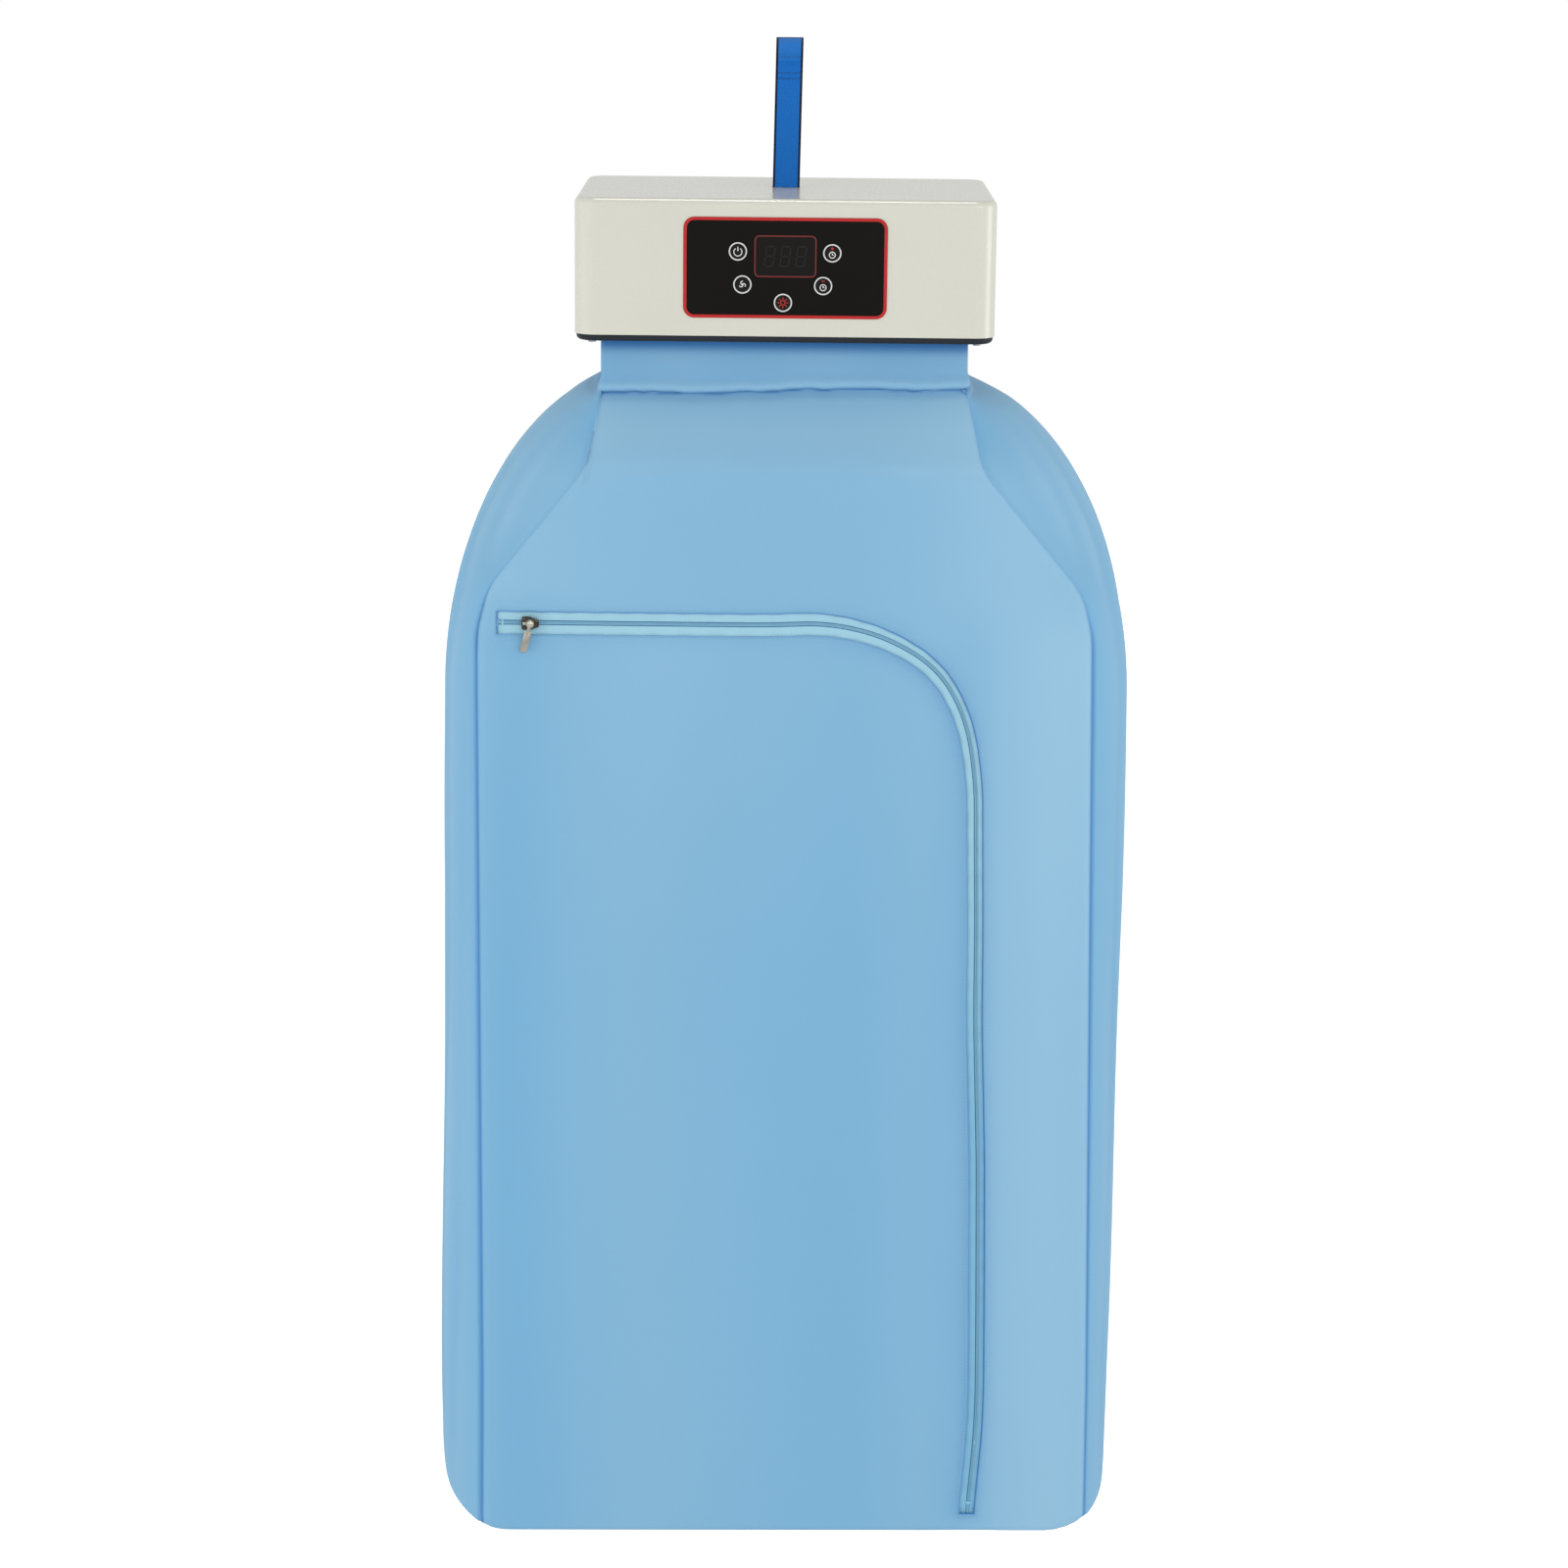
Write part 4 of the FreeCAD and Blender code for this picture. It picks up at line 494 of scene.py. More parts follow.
ARCH_DROP, ARCH_HEIGHT, ARCH_START, SIDE_TAPER = 0.003, 0.240, 0.143, 0.005
SIDE_LEAN, LEAN_END, LEAN_RUN = 0.004, -1.05, 0.40
YOKE_TWIST, SIDE_TWIST = 0.0022, 0.0063
HANG_REACH, DROOP, LEFT_DROOP = 0.20, 0.0015, 0.0045
RISE_LEFT, RISE_RIGHT = 0.0050, 0.0120


def unit(value):
    """A value kept between 0 and 1."""
    return np.clip(value, 0.0, 1.0)


def bell(distance, width):
    """A smooth bump: 1 in its middle and about a third of that at its width."""
    return np.exp(-(distance / width) ** 2)


def eased(z, levels, values, reach):
    """Values at rising levels, joined by lines whose corners are rounded over a reach."""
    return sum(np.interp(z + share * reach, levels, values) for share in (-1.0, -0.5, 0.0, 0.5, 1.0)) / 5


def between(z, values, reach):
    """Values at the bag's levels. They are exact at the neck and the hem, where other pieces join."""
    return eased(z, LEVELS, values, np.minimum(reach, np.maximum(np.minimum(NECK - z, z - HEM), 0.0)))


print("bag from", round(NECK, 4), "down to", round(HEM, 4))

# %% Seams, sides and hem
def seam_half(z):
    return between(z, SEAM_HALVES, 0.009)


def depth(z):
    return between(z, DEPTHS, 0.010)


def groove(z):
    return between(z, GROOVES, 0.010)


def seam_tone(z):
    """Painted shade in the front seams: a clear line down the sides and only a trace on the shoulders."""
    return 0.16 + 0.84 * unit((SHOULDER + 0.01 - z) / 0.05)


def side_half(side, z):
    rise = unit((NECK - ARCH_DROP - z) / (ARCH_HEIGHT - ARCH_DROP))
    tuck = unit((HEM + HEM_ROUND - z) / HEM_ROUND)
    foot = NECK - ARCH_HEIGHT
    full = side_high.x - SIDE_TAPER * unit((z - HEM) / (foot - HEM))
    arch = ARCH_START + (full - ARCH_START) * (1.0 - (1.0 - rise) ** 2) ** 0.63
    return arch - (RIGHT_TUCK if side > 0 else LEFT_TUCK) * (1.0 - np.sqrt(1.0 - tuck ** 2))


def lean(z):
    """The sides of the bag hang a few millimetres to the right, which fades out in the lower half."""
    return SIDE_LEAN * unit((NECK - z) / 0.015) * unit((z - LEAN_END) / LEAN_RUN)


def twist(z):
    """The seams wander to the right on their way down, because the bag hangs with a slight twist."""
    return YOKE_TWIST * unit((NECK - z) / 0.15) + SIDE_TWIST * unit((CORNER - z) / 0.60)


def hem_curl(z):
    turn = unit((HEM + HEM_CURL - z) / HEM_CURL)
    return HEM_CURL * (1.0 - np.sqrt(1.0 - turn ** 2))


neck_half, hem_half = neck_high.x, float(seam_half(HEM))


def hang(x, z):
    """How far cloth near the hem is raised: it droops on the left and rises at the rounded corners."""
    near = unit((HEM + HANG_REACH - z) / HANG_REACH)
    inwards = np.abs(x - twist(HEM)) - hem_half
    left, right = unit(inwards / 0.022 + 1.0), unit(inwards / 0.032 + 1.0)
    right = right * (1.0 - 0.25 * unit(inwards / 0.026))
    corner = np.where(x < 0, RISE_LEFT * left ** 2, RISE_RIGHT * right ** 2)
    droop = (DROOP + LEFT_DROOP * unit(0.5 - 0.5 * x / hem_half)) * near ** 2
    return corner * near ** 6 - droop


print("half width at the hem's seams", round(hem_half, 4))

# %% [markdown]
# ## The line of the zip
# The zip starts at the left below the shoulder, runs level, turns a wide corner and goes down the right
# side. A sewn zip is never quite true, so this one strays outwards a little before its corner and sways
# on its way down. One function gives the point at a distance along the zip and off to its side, and
# another gives the nearest distance, so that the cloth can dip beside it.

# %% The zip line
TAPE_REACH = 0.0085
ZIP_START, ZIP_SIDE = tape_low.x, tape_high.x - TAPE_REACH
ZIP_TOP, ZIP_END = tape_high.z - TAPE_REACH, tape_low.z
ZIP_RADIUS = 0.135
TURN_X, TURN_Z = ZIP_SIDE - ZIP_RADIUS, ZIP_TOP - ZIP_RADIUS
TOP_RUN = TURN_X - ZIP_START
ZIP_ARC = ZIP_RADIUS * math.pi / 2
ZIP_LENGTH = TOP_RUN + ZIP_ARC + TURN_Z - ZIP_END
WANDERS = [(0.20, 0.0), (0.26, 0.0024), (0.30, 0.0052), (0.335, 0.0077), (0.365, 0.0043), (0.395, -0.0007),
           (0.42, -0.0038), (0.47, -0.0026), (0.54, -0.0008), (0.615, 0.0), (0.73, 0.0047), (0.84, 0.0068),
           (0.92, 0.0080), (0.955, 0.0074), (ZIP_LENGTH, 0.0025)]
OUTER_TOP, OUTER_SIDE = 0.0080, 0.0044
INNER_TOP, INNER_SIDE = 0.0088, 0.0068


def wander(along):
    """How far outwards the sewn zip strays from its true line, at a distance along it."""
    return eased(along, *zip(*WANDERS), 0.014)


def zip_line(along, off):
    """Points at a distance along the zip and off its middle line, outwards positive."""
    off = off + wander(along)
    run = np.minimum(along, TOP_RUN)
    angle = np.clip((along - TOP_RUN) / ZIP_RADIUS, 0.0, math.pi / 2)
    down = np.maximum(along - TOP_RUN - ZIP_ARC, 0.0)
    radius = ZIP_RADIUS + off
    return ZIP_START + run + np.sin(angle) * radius, TURN_Z + np.cos(angle) * radius - down


def outer_edge(along):
    """How far the cloth outside stops short of the zip line: less on the way down than along the top."""
    return OUTER_TOP + (OUTER_SIDE - OUTER_TOP) * unit((along - TOP_RUN) / (0.6 * ZIP_ARC))


def inner_edge(along):
    """How far the door's cloth stops short of the zip line."""
    return INNER_TOP + (INNER_SIDE - INNER_TOP) * unit((along - TOP_RUN) / ZIP_ARC)


print("zip is", round(ZIP_LENGTH, 3), "m long")

# %% Nearest place on the zip, and the fold
def zip_near(x, z):
    """Distance past the cloth's edge, distance along the zip, and whether the place is outside the zip."""
    over, up = x - TURN_X, z - TURN_Z
    off_top, off_side = z - ZIP_TOP, x - ZIP_SIDE
    past_start, past_end = ZIP_START - x, ZIP_END - z
    in_turn = (over > 0) & (up > 0)
    nearer = np.hypot(off_top, np.maximum(past_start, 0.0)) < np.hypot(off_side, np.maximum(past_end, 0.0))
    on_top = (over <= 0) & ((up > 0) | nearer)
    turn = np.arctan2(np.maximum(over, 0.0), np.maximum(up, 1e-9))
    off = np.where(in_turn, np.hypot(over, up) - ZIP_RADIUS, np.where(on_top, off_top, off_side))
    past = np.where(in_turn, 0.0, np.where(on_top, past_start, past_end))
    down = TOP_RUN + ZIP_ARC + TURN_Z - z
    along = np.where(in_turn, TOP_RUN + ZIP_RADIUS * turn, np.where(on_top, x - ZIP_START, down))
    off = off - wander(along)
    aside = np.abs(off) - np.where(off > 0, outer_edge(along), inner_edge(along))
    edge = np.where(past > 0, np.hypot(past, np.maximum(aside, 0.0)), aside)
    return edge, along, (off > 0) | (past > 0)


FOLD_SLOPE = (ZIP_SIDE - ZIP_START) / (ZIP_TOP - ZIP_END)


def fold_x(z):
    return ZIP_START + (ZIP_TOP - z) * FOLD_SLOPE


end_stray = float(wander(ZIP_LENGTH))
TIP_TOP_Z = ZIP_TOP - INNER_TOP
TIP_END_Z = ZIP_END + (INNER_SIDE - end_stray) / FOLD_SLOPE
print("fold from z", round(TIP_TOP_Z, 4), "to", round(TIP_END_Z, 4))

# %% [markdown]
# ## The hang of the cloth
# Cloth between seams is never flat. It crowns outwards, sinks into its seams, hangs in soft upright folds
# and puckers beside a sewn zip. Each of these is one small term added to the depth of the panel. The
# folds are listed across the bag, from a valley near -1 to a ridge above 1, once for the door and below
# and once for the yoke above the zip. The same list gives the fold attribute, which paints shade into a
# valley, because a valley sees less of the light, and paints light onto a ridge. Nearer the hem and the
# neck the sewing holds the cloth straight, so there the folds fade out.

# %% Depth of the front and back panels
FOLD_PLACES = [-0.232, -0.212, -0.190, -0.165, -0.105, -0.01, 0.055,
               0.115, 0.138, 0.160, 0.190, 0.215, 0.240]
LOW_FOLDS = [-0.2, -1.1, -1.0, -0.4, 0.0, -0.4, -0.6, 0.0, -0.6, 0.5, 1.1, 1.4, 1.0]
TOP_FOLDS = [0.9, 0.8, 0.6, 0.5, 0.1, 0.0, 0.1, 0.6, 0.9, 1.2, 1.3, 1.0, 0.7]
UPPER_FROM, UPPER_RUN = -0.70, 0.25
HEM_HOLD, SEAM_HOLD, SEAM_SINK = 0.07, 0.03, 0.0045
ZIP_VALLEY = 0.0016


def folds(x, z):
    """Where the cloth folds in, below 0, and out, above 0. The same numbers paint shade and light."""
    above = unit((z - ZIP_TOP + 0.02) / 0.05)
    place = x + 0.006 * np.sin(7.0 * z + 0.6)
    # Painted light: the rise towards the top of the door, the band along the yoke and the thin line at the
    # bend make the cloth paler, and push it out a little.
    low = eased(place, FOLD_PLACES, LOW_FOLDS, 0.014) + 0.5 * unit((z - UPPER_FROM) / UPPER_RUN)
    top = eased(place, FOLD_PLACES, TOP_FOLDS, 0.020) + 0.7 * bell(z - BEND - 0.025, 0.025)
    return low * (1.0 - above) + (top + 0.5 * bell(z - BEND, 0.0012)) * above


def ripples(x, z):
    """Fine shallow waves in a hanging cloth."""
    slant = x + 0.02 * np.sin(4.3 * z + 0.6)
    across = 0.0010 * np.sin(math.tau * slant / 0.128 - 1.9 * z)
    upwards = 0.0007 * np.sin(math.tau * z / 0.36 + 5.0 * x)
    return across + upwards + 0.0004 * np.sin(math.tau * (x + 0.4 * z) / 0.083)


def seam_inset(x, z):
    return np.maximum(seam_half(z) - np.abs(x - twist(z)), 0.0)


def neck_line(x):
    """The ragged lower edge of the neck, which slopes up to the right."""
    ragged = 0.0009 * np.sin(38.0 * x + 0.4) + 0.0004 * np.sin(97.0 * x + 1.7 * np.sin(23.0 * x))
    return NECK + 0.0032 * x / neck_half + ragged + 0.0002 * np.sin(310.0 * x + 2.0 * np.sin(61.0 * x))


def freedom(z, neck_hold):
    """How free the cloth hangs at a height, from 0 where the hem or the neck holds it."""
    return unit((z - HEM) / HEM_HOLD) * unit((NECK - z) / neck_hold)


def panel_y(x, z):
    """How far out a panel lies, as a negative depth like the front's."""
    inset = seam_inset(x, z)
    free = freedom(z, 0.06)
    crown = 0.0015 * (1.0 - unit(np.abs(x - twist(z)) / seam_half(z)) ** 4)
    level = 1.0 - bell(z - ZIP_TOP, 0.04)
    loose = (0.0014 * folds(x, z) + ripples(x, z)) * (1.0 - bell(inset, SEAM_HOLD)) * level
    sunk = groove(z) * bell(inset, SEAM_SINK)
    below = np.maximum(neck_line(x) - z, 0.0)
    gather = 0.0004 * np.sin(math.tau * x / 0.029 + 2.5 * np.sin(31.0 * x)) * np.exp(-below / 0.022)
    tucked = 0.0035 * bell(below, 0.003)
    return -depth(z) - free * (crown + loose) + sunk + gather + tucked + hem_curl(z)


def front_y(x, z):
    edge, along, _ = zip_near(x, z)
    valley = ZIP_VALLEY * bell(edge, 0.016)
    waves = 0.0004 * np.sin(math.tau * along / 0.021 + 1.5 * np.sin(along / 0.05))
    pucker = waves * np.exp(-np.abs(edge) / 0.012)
    rolled = 0.0007 * bell(edge - 0.0022, 0.0016)
    return panel_y(x, z) + valley + pucker - rolled


print("depth of the front at its middle", round(float(front_y(np.array([0.0]), np.array([-0.7]))[0]), 4))

# %% Tone of the front and back panels
def panel_painted_shade(x, z):
    """Painted shade where the cloth goes into a seam or under the neck, from 0 to 1."""
    seam = bell(seam_inset(x, z), 0.0012) * seam_tone(z)
    neck = bell(neck_line(x) - z, 0.0005) + 0.2 * np.exp(-np.abs(neck_line(x) - z) / 0.004)
    return unit(0.75 * seam + 0.6 * neck)


def front_painted_shade(x, z):
    # Painted shade: a dark line where the cloth's edge lies over the tape, darker outside the zip, and shade
    # in the valley beside the zip that deepens lower down and at the corner.
    edge, along, outside = zip_near(x, z)
    hem = bell(edge, 0.0010) * (0.20 + 0.45 * outside)
    lower = unit((along - TOP_RUN) / 0.45)
    corner = 0.18 * bell(along - TOP_RUN - 0.12, 0.07)
    shade = (0.12 + 0.24 * lower + corner) * np.exp(-np.maximum(edge, 0.0) / (0.006 - 0.002 * outside))
    return unit(panel_painted_shade(x, z) + hem + shade)


print("seams are marked", round(float(seam_tone(SHOULDER)), 2), "as strongly at the shoulder as below")

# %% [markdown]
# ## Cutting and sewing a panel
# A grid primitive is a flat sheet of square cells. Moving its points onto the pattern gives the sewn
# panel, and the grid's UV map stays as the cloth's own directions. Then doubles are merged where a grid
# closes on itself, the faces are turned outwards, and a Solidify modifier gives the cloth its thickness
# on the inside.

# %% Helpers for edit mode and shading
DOUBLES = 1e-6


@contextlib.contextmanager
def editing(piece):
    """Edit mode on one piece, with its whole mesh selected."""
    pick(piece)
    bpy.ops.object.mode_set(mode="EDIT")
    bpy.ops.mesh.select_all(action="SELECT")
    yield
    bpy.ops.object.mode_set(mode="OBJECT")


def close_mesh():
    """In edit mode, merges doubles and turns the faces outwards."""
    bpy.ops.mesh.select_all(action="SELECT")
    bpy.ops.mesh.remove_doubles(threshold=DOUBLES)
    bpy.ops.mesh.normals_make_consistent(inside=False)


def smooth(piece, sharp):
    """Shades a piece smooth, except at edges sharper than this angle in degrees."""
    pick(piece)
    bpy.ops.object.shade_smooth_by_angle(angle=math.radians(sharp))
    return piece


print("doubles are merged within", DOUBLES, "m")

# %% Helpers for grids, attributes and thickness
CLOTH = 0.0008
BAG_MIDDLE = (0.0, 0.0, 0.5 * (NECK + HEM))


def points_of(piece):
    flat = np.empty(len(piece.data.vertices) * 3)
    piece.data.vertices.foreach_get("co", flat)
    return flat.reshape(-1, 3)


def mark(piece, name, amount):
    attribute = piece.data.attributes.new(name, "FLOAT", "POINT")
    attribute.data.foreach_set("value", np.asarray(amount, dtype=np.float32))


def sewn_grid(name, columns, rows, place, tones=None):
    """A grid put where place says, from its shares across and up. tones gives its painted shade and its fold
    tone.
    """
    deselect()
    bpy.ops.mesh.primitive_grid_add(x_subdivisions=columns, y_subdivisions=rows, size=1.0)
    piece = named(name)
    shares = points_of(piece) + 0.5
    x, y, z = place(shares[:, 0], shares[:, 1])
    piece.data.vertices.foreach_set("co", np.column_stack((x, y, z + hang(x, z))).ravel())
    piece.data.update()
    if tones:
        painted_shade, fold = tones(x, y, z)
        mark(piece, "painted_shade", painted_shade)
        mark(piece, "fold", fold)
    return piece


def thicken(piece, thickness, middle=BAG_MIDDLE, offset=-1.0):
    """Merges doubles, turns the faces away from the middle and gives the sheet its thickness."""
    with editing(piece):
        close_mesh()
    away = sum(face.area * face.normal.dot(face.center - Vector(middle)) for face in piece.data.polygons)
    if away < 0:
        piece.data.flip_normals()
    cloth = piece.modifiers.new("cloth", "SOLIDIFY")
    cloth.thickness = thickness
    cloth.offset = offset
    bpy.ops.object.modifier_apply(modifier=cloth.name)
    return smooth(piece, 50)


def finer_ends(share, pull=0.13):
    """Moves even shares towards 0 and 1, so that a grid is finer beside its seams."""
    return share - pull * np.sin(math.tau * share)


print("cloth is", CLOTH * 1000, "mm thick")

# %% [markdown]
# ## The front panel
# The fixed part of the front is a frame of cloth round the door. Its inner edge follows the zip and then
# the fold line back to the start, and its outer edge follows the seams, the neck and the hem. So it is
# made as a ring: the grid's columns go round and its rows go from the inner edge to the outer one.
# Matching stretches of the two edges are listed side by side with the number of columns in each.

# %% Edges of the front panel
def line(start, end, count):
    return np.linspace(start, end, count, endpoint=False)


def along_zip(start, end, count):
    along = line(start, end, count)
    return np.column_stack(zip_line(along, outer_edge(along)))


def along_seam(side, start, end, count):
    z = line(start, end, count)
    return np.column_stack((side * seam_half(z) + twist(z), z))


NECK_TUCK, TIP_STEP = NECK + 0.006, 0.006
NECK_FROM, NECK_TO, SHOULDER_TO = 0.06, 0.29, 0.42
zip_foot = zip_line(np.array([ZIP_LENGTH]), 0.0)[0][0]
foot_out, foot_in = zip_foot + OUTER_SIDE, zip_foot - INNER_SIDE
tip_top = (fold_x(TIP_TOP_Z), TIP_TOP_Z)
tip_end = (fold_x(TIP_END_Z), TIP_END_Z)
fold_mid = tuple(np.add(tip_end, 0.42 * np.subtract(tip_top, tip_end)))
hem_left, hem_right = (twist(HEM) - hem_half, HEM), (twist(HEM) + hem_half, HEM)
hem_foot, hem_tip = (0.15, HEM), (0.12, HEM)
LEFT_LOW, LEFT_TOP = ZIP_TOP - INNER_TOP, ZIP_TOP + OUTER_TOP
ring = [
    (along_zip(0.0, NECK_FROM, 60), along_seam(-1, LEFT_TOP, NECK_TUCK, 60)),
    (along_zip(NECK_FROM, NECK_TO, 90), line((-neck_half, NECK_TUCK), (neck_half, NECK_TUCK), 90)),
    (along_zip(NECK_TO, SHOULDER_TO, 70), along_seam(1, NECK_TUCK, CORNER, 70)),
    (along_zip(SHOULDER_TO, ZIP_LENGTH, 150), along_seam(1, CORNER, HEM, 150)),
    (line((foot_out, ZIP_END), (foot_in, ZIP_END), 10), line(hem_right, hem_foot, 10)),
    (line((foot_in, ZIP_END), tip_end, 6), line(hem_foot, hem_tip, 6)),
    (line(tip_end, fold_mid, 100), line(hem_tip, hem_left, 100)),
    (line(fold_mid, tip_top, 150), along_seam(-1, HEM, LEFT_LOW - TIP_STEP, 150)),
    (line(tip_top, (ZIP_START, TIP_TOP_Z), 3), along_seam(-1, LEFT_LOW - TIP_STEP, LEFT_LOW, 3)),
    (line((ZIP_START, LEFT_LOW), (ZIP_START, LEFT_TOP), 6), along_seam(-1, LEFT_LOW, LEFT_TOP, 6)),
]
inner = np.vstack([edges[0] for edges in ring] + [ring[0][0][:1]])
outer = np.vstack([edges[1] for edges in ring] + [ring[0][1][:1]])
print("front panel has", len(inner), "points round its edges")

# %% Front panel
def place_front(across, up):
    column = np.rint(across * (len(inner) - 1)).astype(int)
    share = finer_ends(up, 0.148)[:, None]
    x, z = (inner[column] * (1.0 - share) + outer[column] * share).T
    return x, front_y(x, z), z


def front_tones(x, y, z):
    return front_painted_shade(x, z), folds(x, z)


front = thicken(sewn_grid("bag_front", len(inner) - 1, 60, place_front, front_tones), CLOTH)
hand_over(front, "head_and_bag", "bag_fabric", cloth_finish, "front_panel")

# %% [markdown]
# ## The door
# The door is the cloth inside the curve of the zip. Unzipped, it folds back along the slanted line from
# one end of the zip to the other. The grid's columns run along the zip and its rows run from the fold to
# the zip, and both are put on the same front surface, so the shut door lies flush. Blending lets its
# first 14 mm bend at the fold, as cloth does, and the rest swings with the door.

# %% Door flap
FOLD_BEND = 0.014
fold_way = np.array([math.cos(math.atan(FOLD_SLOPE)), 0.0, math.sin(math.atan(FOLD_SLOPE))])
fold_from = (ZIP_START, front_low.y, ZIP_TOP)
fold_to = tuple(np.array(fold_from) + FOLD_BEND * fold_way)
door_from = fold_x(TIP_TOP_Z) - ZIP_START
door_to = TOP_RUN + ZIP_ARC + TURN_Z - TIP_END_Z


def place_door(across, up):
    along = door_from + (door_to - door_from) * across
    edge_x, edge_z = zip_line(along, -inner_edge(along))
    fold_z = TIP_TOP_Z + (TIP_END_Z - TIP_TOP_Z) * across
    share = finer_ends(up)
    x = fold_x(fold_z) * (1.0 - share) + edge_x * share
    z = fold_z * (1.0 - share) + edge_z * share
    return x, front_y(x, z), z


door = thicken(sewn_grid("bag_door", 300, 70, place_door, front_tones), CLOTH)
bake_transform(door, "head_and_bag", "door", fold_from, fold_to)
hand_over(door, "door", "bag_fabric", cloth_finish, "door_flap")

# %% [markdown]
# ## The back and the sides
# The back is the front's pattern without a door. Each side is a gusset, a long strip that arches from the
# front seam out to the widest line of the bag and round to the back seam. At each height its section is
# the arc through those three points. Near its top the arch closes in under the neck.

# %% Back panel
def place_back(across, up):
    z = HEM + (NECK_TUCK - HEM) * finer_ends(up, 0.10)
    x = twist(z) - seam_half(z) * (2.0 * finer_ends(across, 0.145) - 1.0)
    return x, -panel_y(x, z), z


def back_tones(x, y, z):
    return panel_painted_shade(x, z), folds(x, z)


back = thicken(sewn_grid("bag_back", 100, 190, place_back, back_tones), CLOTH)
hand_over(back, "head_and_bag", "bag_fabric", cloth_finish, "back_panel")

# %% Gussets
NECK_CLOSE = 0.003


def gusset_arc(side, z):
    """A gusset's section at a height: its seam's place, its bulge, its radius and its half angle."""
    seam_x = side * seam_half(z) + twist(z)
    bulge = side * (side * side_half(side, z) + lean(z) - seam_x)
    radius = (bulge ** 2 + depth(z) ** 2) / (2.0 * bulge)
    return seam_x, bulge, radius, np.arcsin(unit(depth(z) / radius))


def gusset_wave(side, turn, z, inset):
    """Shallow waves across a gusset and up it, which fade out at its edges."""
    free = (1.0 - bell(inset, SEAM_HOLD)) * freedom(z, 0.1)
    return free * (0.0010 * np.sin(26.0 * turn + 3.1 * z + side) + 0.0006 * np.sin(17.0 * z + 9.0 * turn))


def gusset_point(side, share, z):
    """Points on a gusset, from its front seam at share 0 to its back seam at share 1."""
    level = np.minimum(z, NECK)
    seam_x, bulge, radius, limit = gusset_arc(side, level)
    turn = limit * (2.0 * share - 1.0)
    inset = radius * (limit - np.abs(turn))
    reach = radius + gusset_wave(side, turn, level, inset)
    lost = groove(level) * bell(inset, SEAM_SINK) + hem_curl(level) * np.abs(turn / limit)
    closing = unit((z - NECK) / NECK_CLOSE)
    x = seam_x + side * (bulge - radius + reach * np.cos(turn))
    y = reach * np.sin(turn) - np.sign(turn) * lost
    return x * (1.0 - closing) + side * (neck_half - NECK_CLOSE) * closing, y


def gusset(name, side):
    def place(across, up):
        z = HEM + (NECK + NECK_CLOSE - HEM) * finer_ends(up, 0.12)
        share = finer_ends(across, 0.14)
        x, y = gusset_point(side, share if side > 0 else 1.0 - share, z)
        return x, y, z

    def tones(x, y, z):
        # Painted shade and light on a gusset: its seam and the neck's edge are darkened, the cloth is a
        # richer blue beside the seam, most near the top, and paler across the yoke, the waves are paler on
        # their crests, and the whole strip is a little richer blue.
        level = np.minimum(z, NECK)
        inset = np.maximum(depth(level) - groove(level) - hem_curl(level) - np.abs(y), 0.0)
        seam = bell(inset, 0.0018) * seam_tone(level)
        neck = bell(NECK - z, 0.0009)
        turn = np.arcsin(np.clip(y / gusset_arc(side, level)[2], -1.0, 1.0))
        yoke = unit((level - SHOULDER) / 0.05)
        upper = unit((level - BEND + 0.01) / 0.03)
        valley = (0.6 - 0.4 * yoke + 1.2 * upper) * np.exp(-inset / 0.02) - 0.5 * yoke
        fold = 500.0 * gusset_wave(side, turn, level, inset) - valley - 0.2
        return unit(0.75 * seam + 0.6 * neck), fold

    return thicken(sewn_grid(name, 80, 180, place, tones), CLOTH)


right_side, left_side = gusset("bag_right_side", 1.0), gusset("bag_left_side", -1.0)
hand_over(right_side, "head_and_bag", "bag_fabric", cloth_finish, "right_gusset")
hand_over(left_side, "head_and_bag", "bag_fabric", cloth_finish, "left_gusset")

# %% [markdown]
# ## The neck
# The neck is a short sleeve that carries the bag from the base of the head. Its lower edge is rolled
# under and gathered, so it swells a little and then turns in along a ragged line. A sleeve is a grid
# whose columns go round a rounded rectangle. Its cloth carries painted shade: a little all over, more
# towards the top where the lip of the head shades it, and a thin dark line along its lower edge. The
# roll above that edge is paler, which is painted light.

# %% Paths
def path_lengths(path):
    """The distance along a path to each of its points."""
    return np.concatenate(([0.0], np.cumsum(np.hypot(*np.diff(path, axis=0).T))))


def point_along(path, share):
    """The points at shares of a path's length."""
    lengths = path_lengths(path)
    return [np.interp(share * lengths[-1], lengths, path[:, axis]) for axis in (0, 1)]


def rounded_loop(half_x, half_y, radius):
    """Points round a rounded rectangle, anticlockwise."""
    loop = []
    for quarter, (sx, sy) in enumerate(((1, -1), (1, 1), (-1, 1), (-1, -1))):
        angles = np.radians(np.linspace(-90, 0, 10) + 90 * quarter)
        corner = np.column_stack((np.cos(angles), np.sin(angles))) * radius
        loop.append(corner + [sx * (half_x - radius), sy * (half_y - radius)])
    return np.vstack(loop + [loop[0][:1]])


NECK_ROUND = 0.003
neck_loop = rounded_loop(neck_half, neck_high.y, NECK_ROUND)
print("neck is", round(path_lengths(neck_loop)[-1], 4), "m round")

# %% Neck sleeve
def place_neck(across, up):
    x, y = point_along(neck_loop, across)
    low = neck_line(x) - 0.0004
    above = (neck_high.z - low) * up ** 1.6
    swell = 0.0020 * bell(above - 0.0055, 0.005) - 0.0045 * bell(above, 0.0016)
    turns = math.tau * across
    swell = swell + 0.0003 * np.sin(34 * turns + 3.0 * np.sin(5 * turns)) * np.exp(-above / 0.015)
    return x * (1.0 + swell / neck_half), y * (1.0 + swell / neck_high.y), low + above


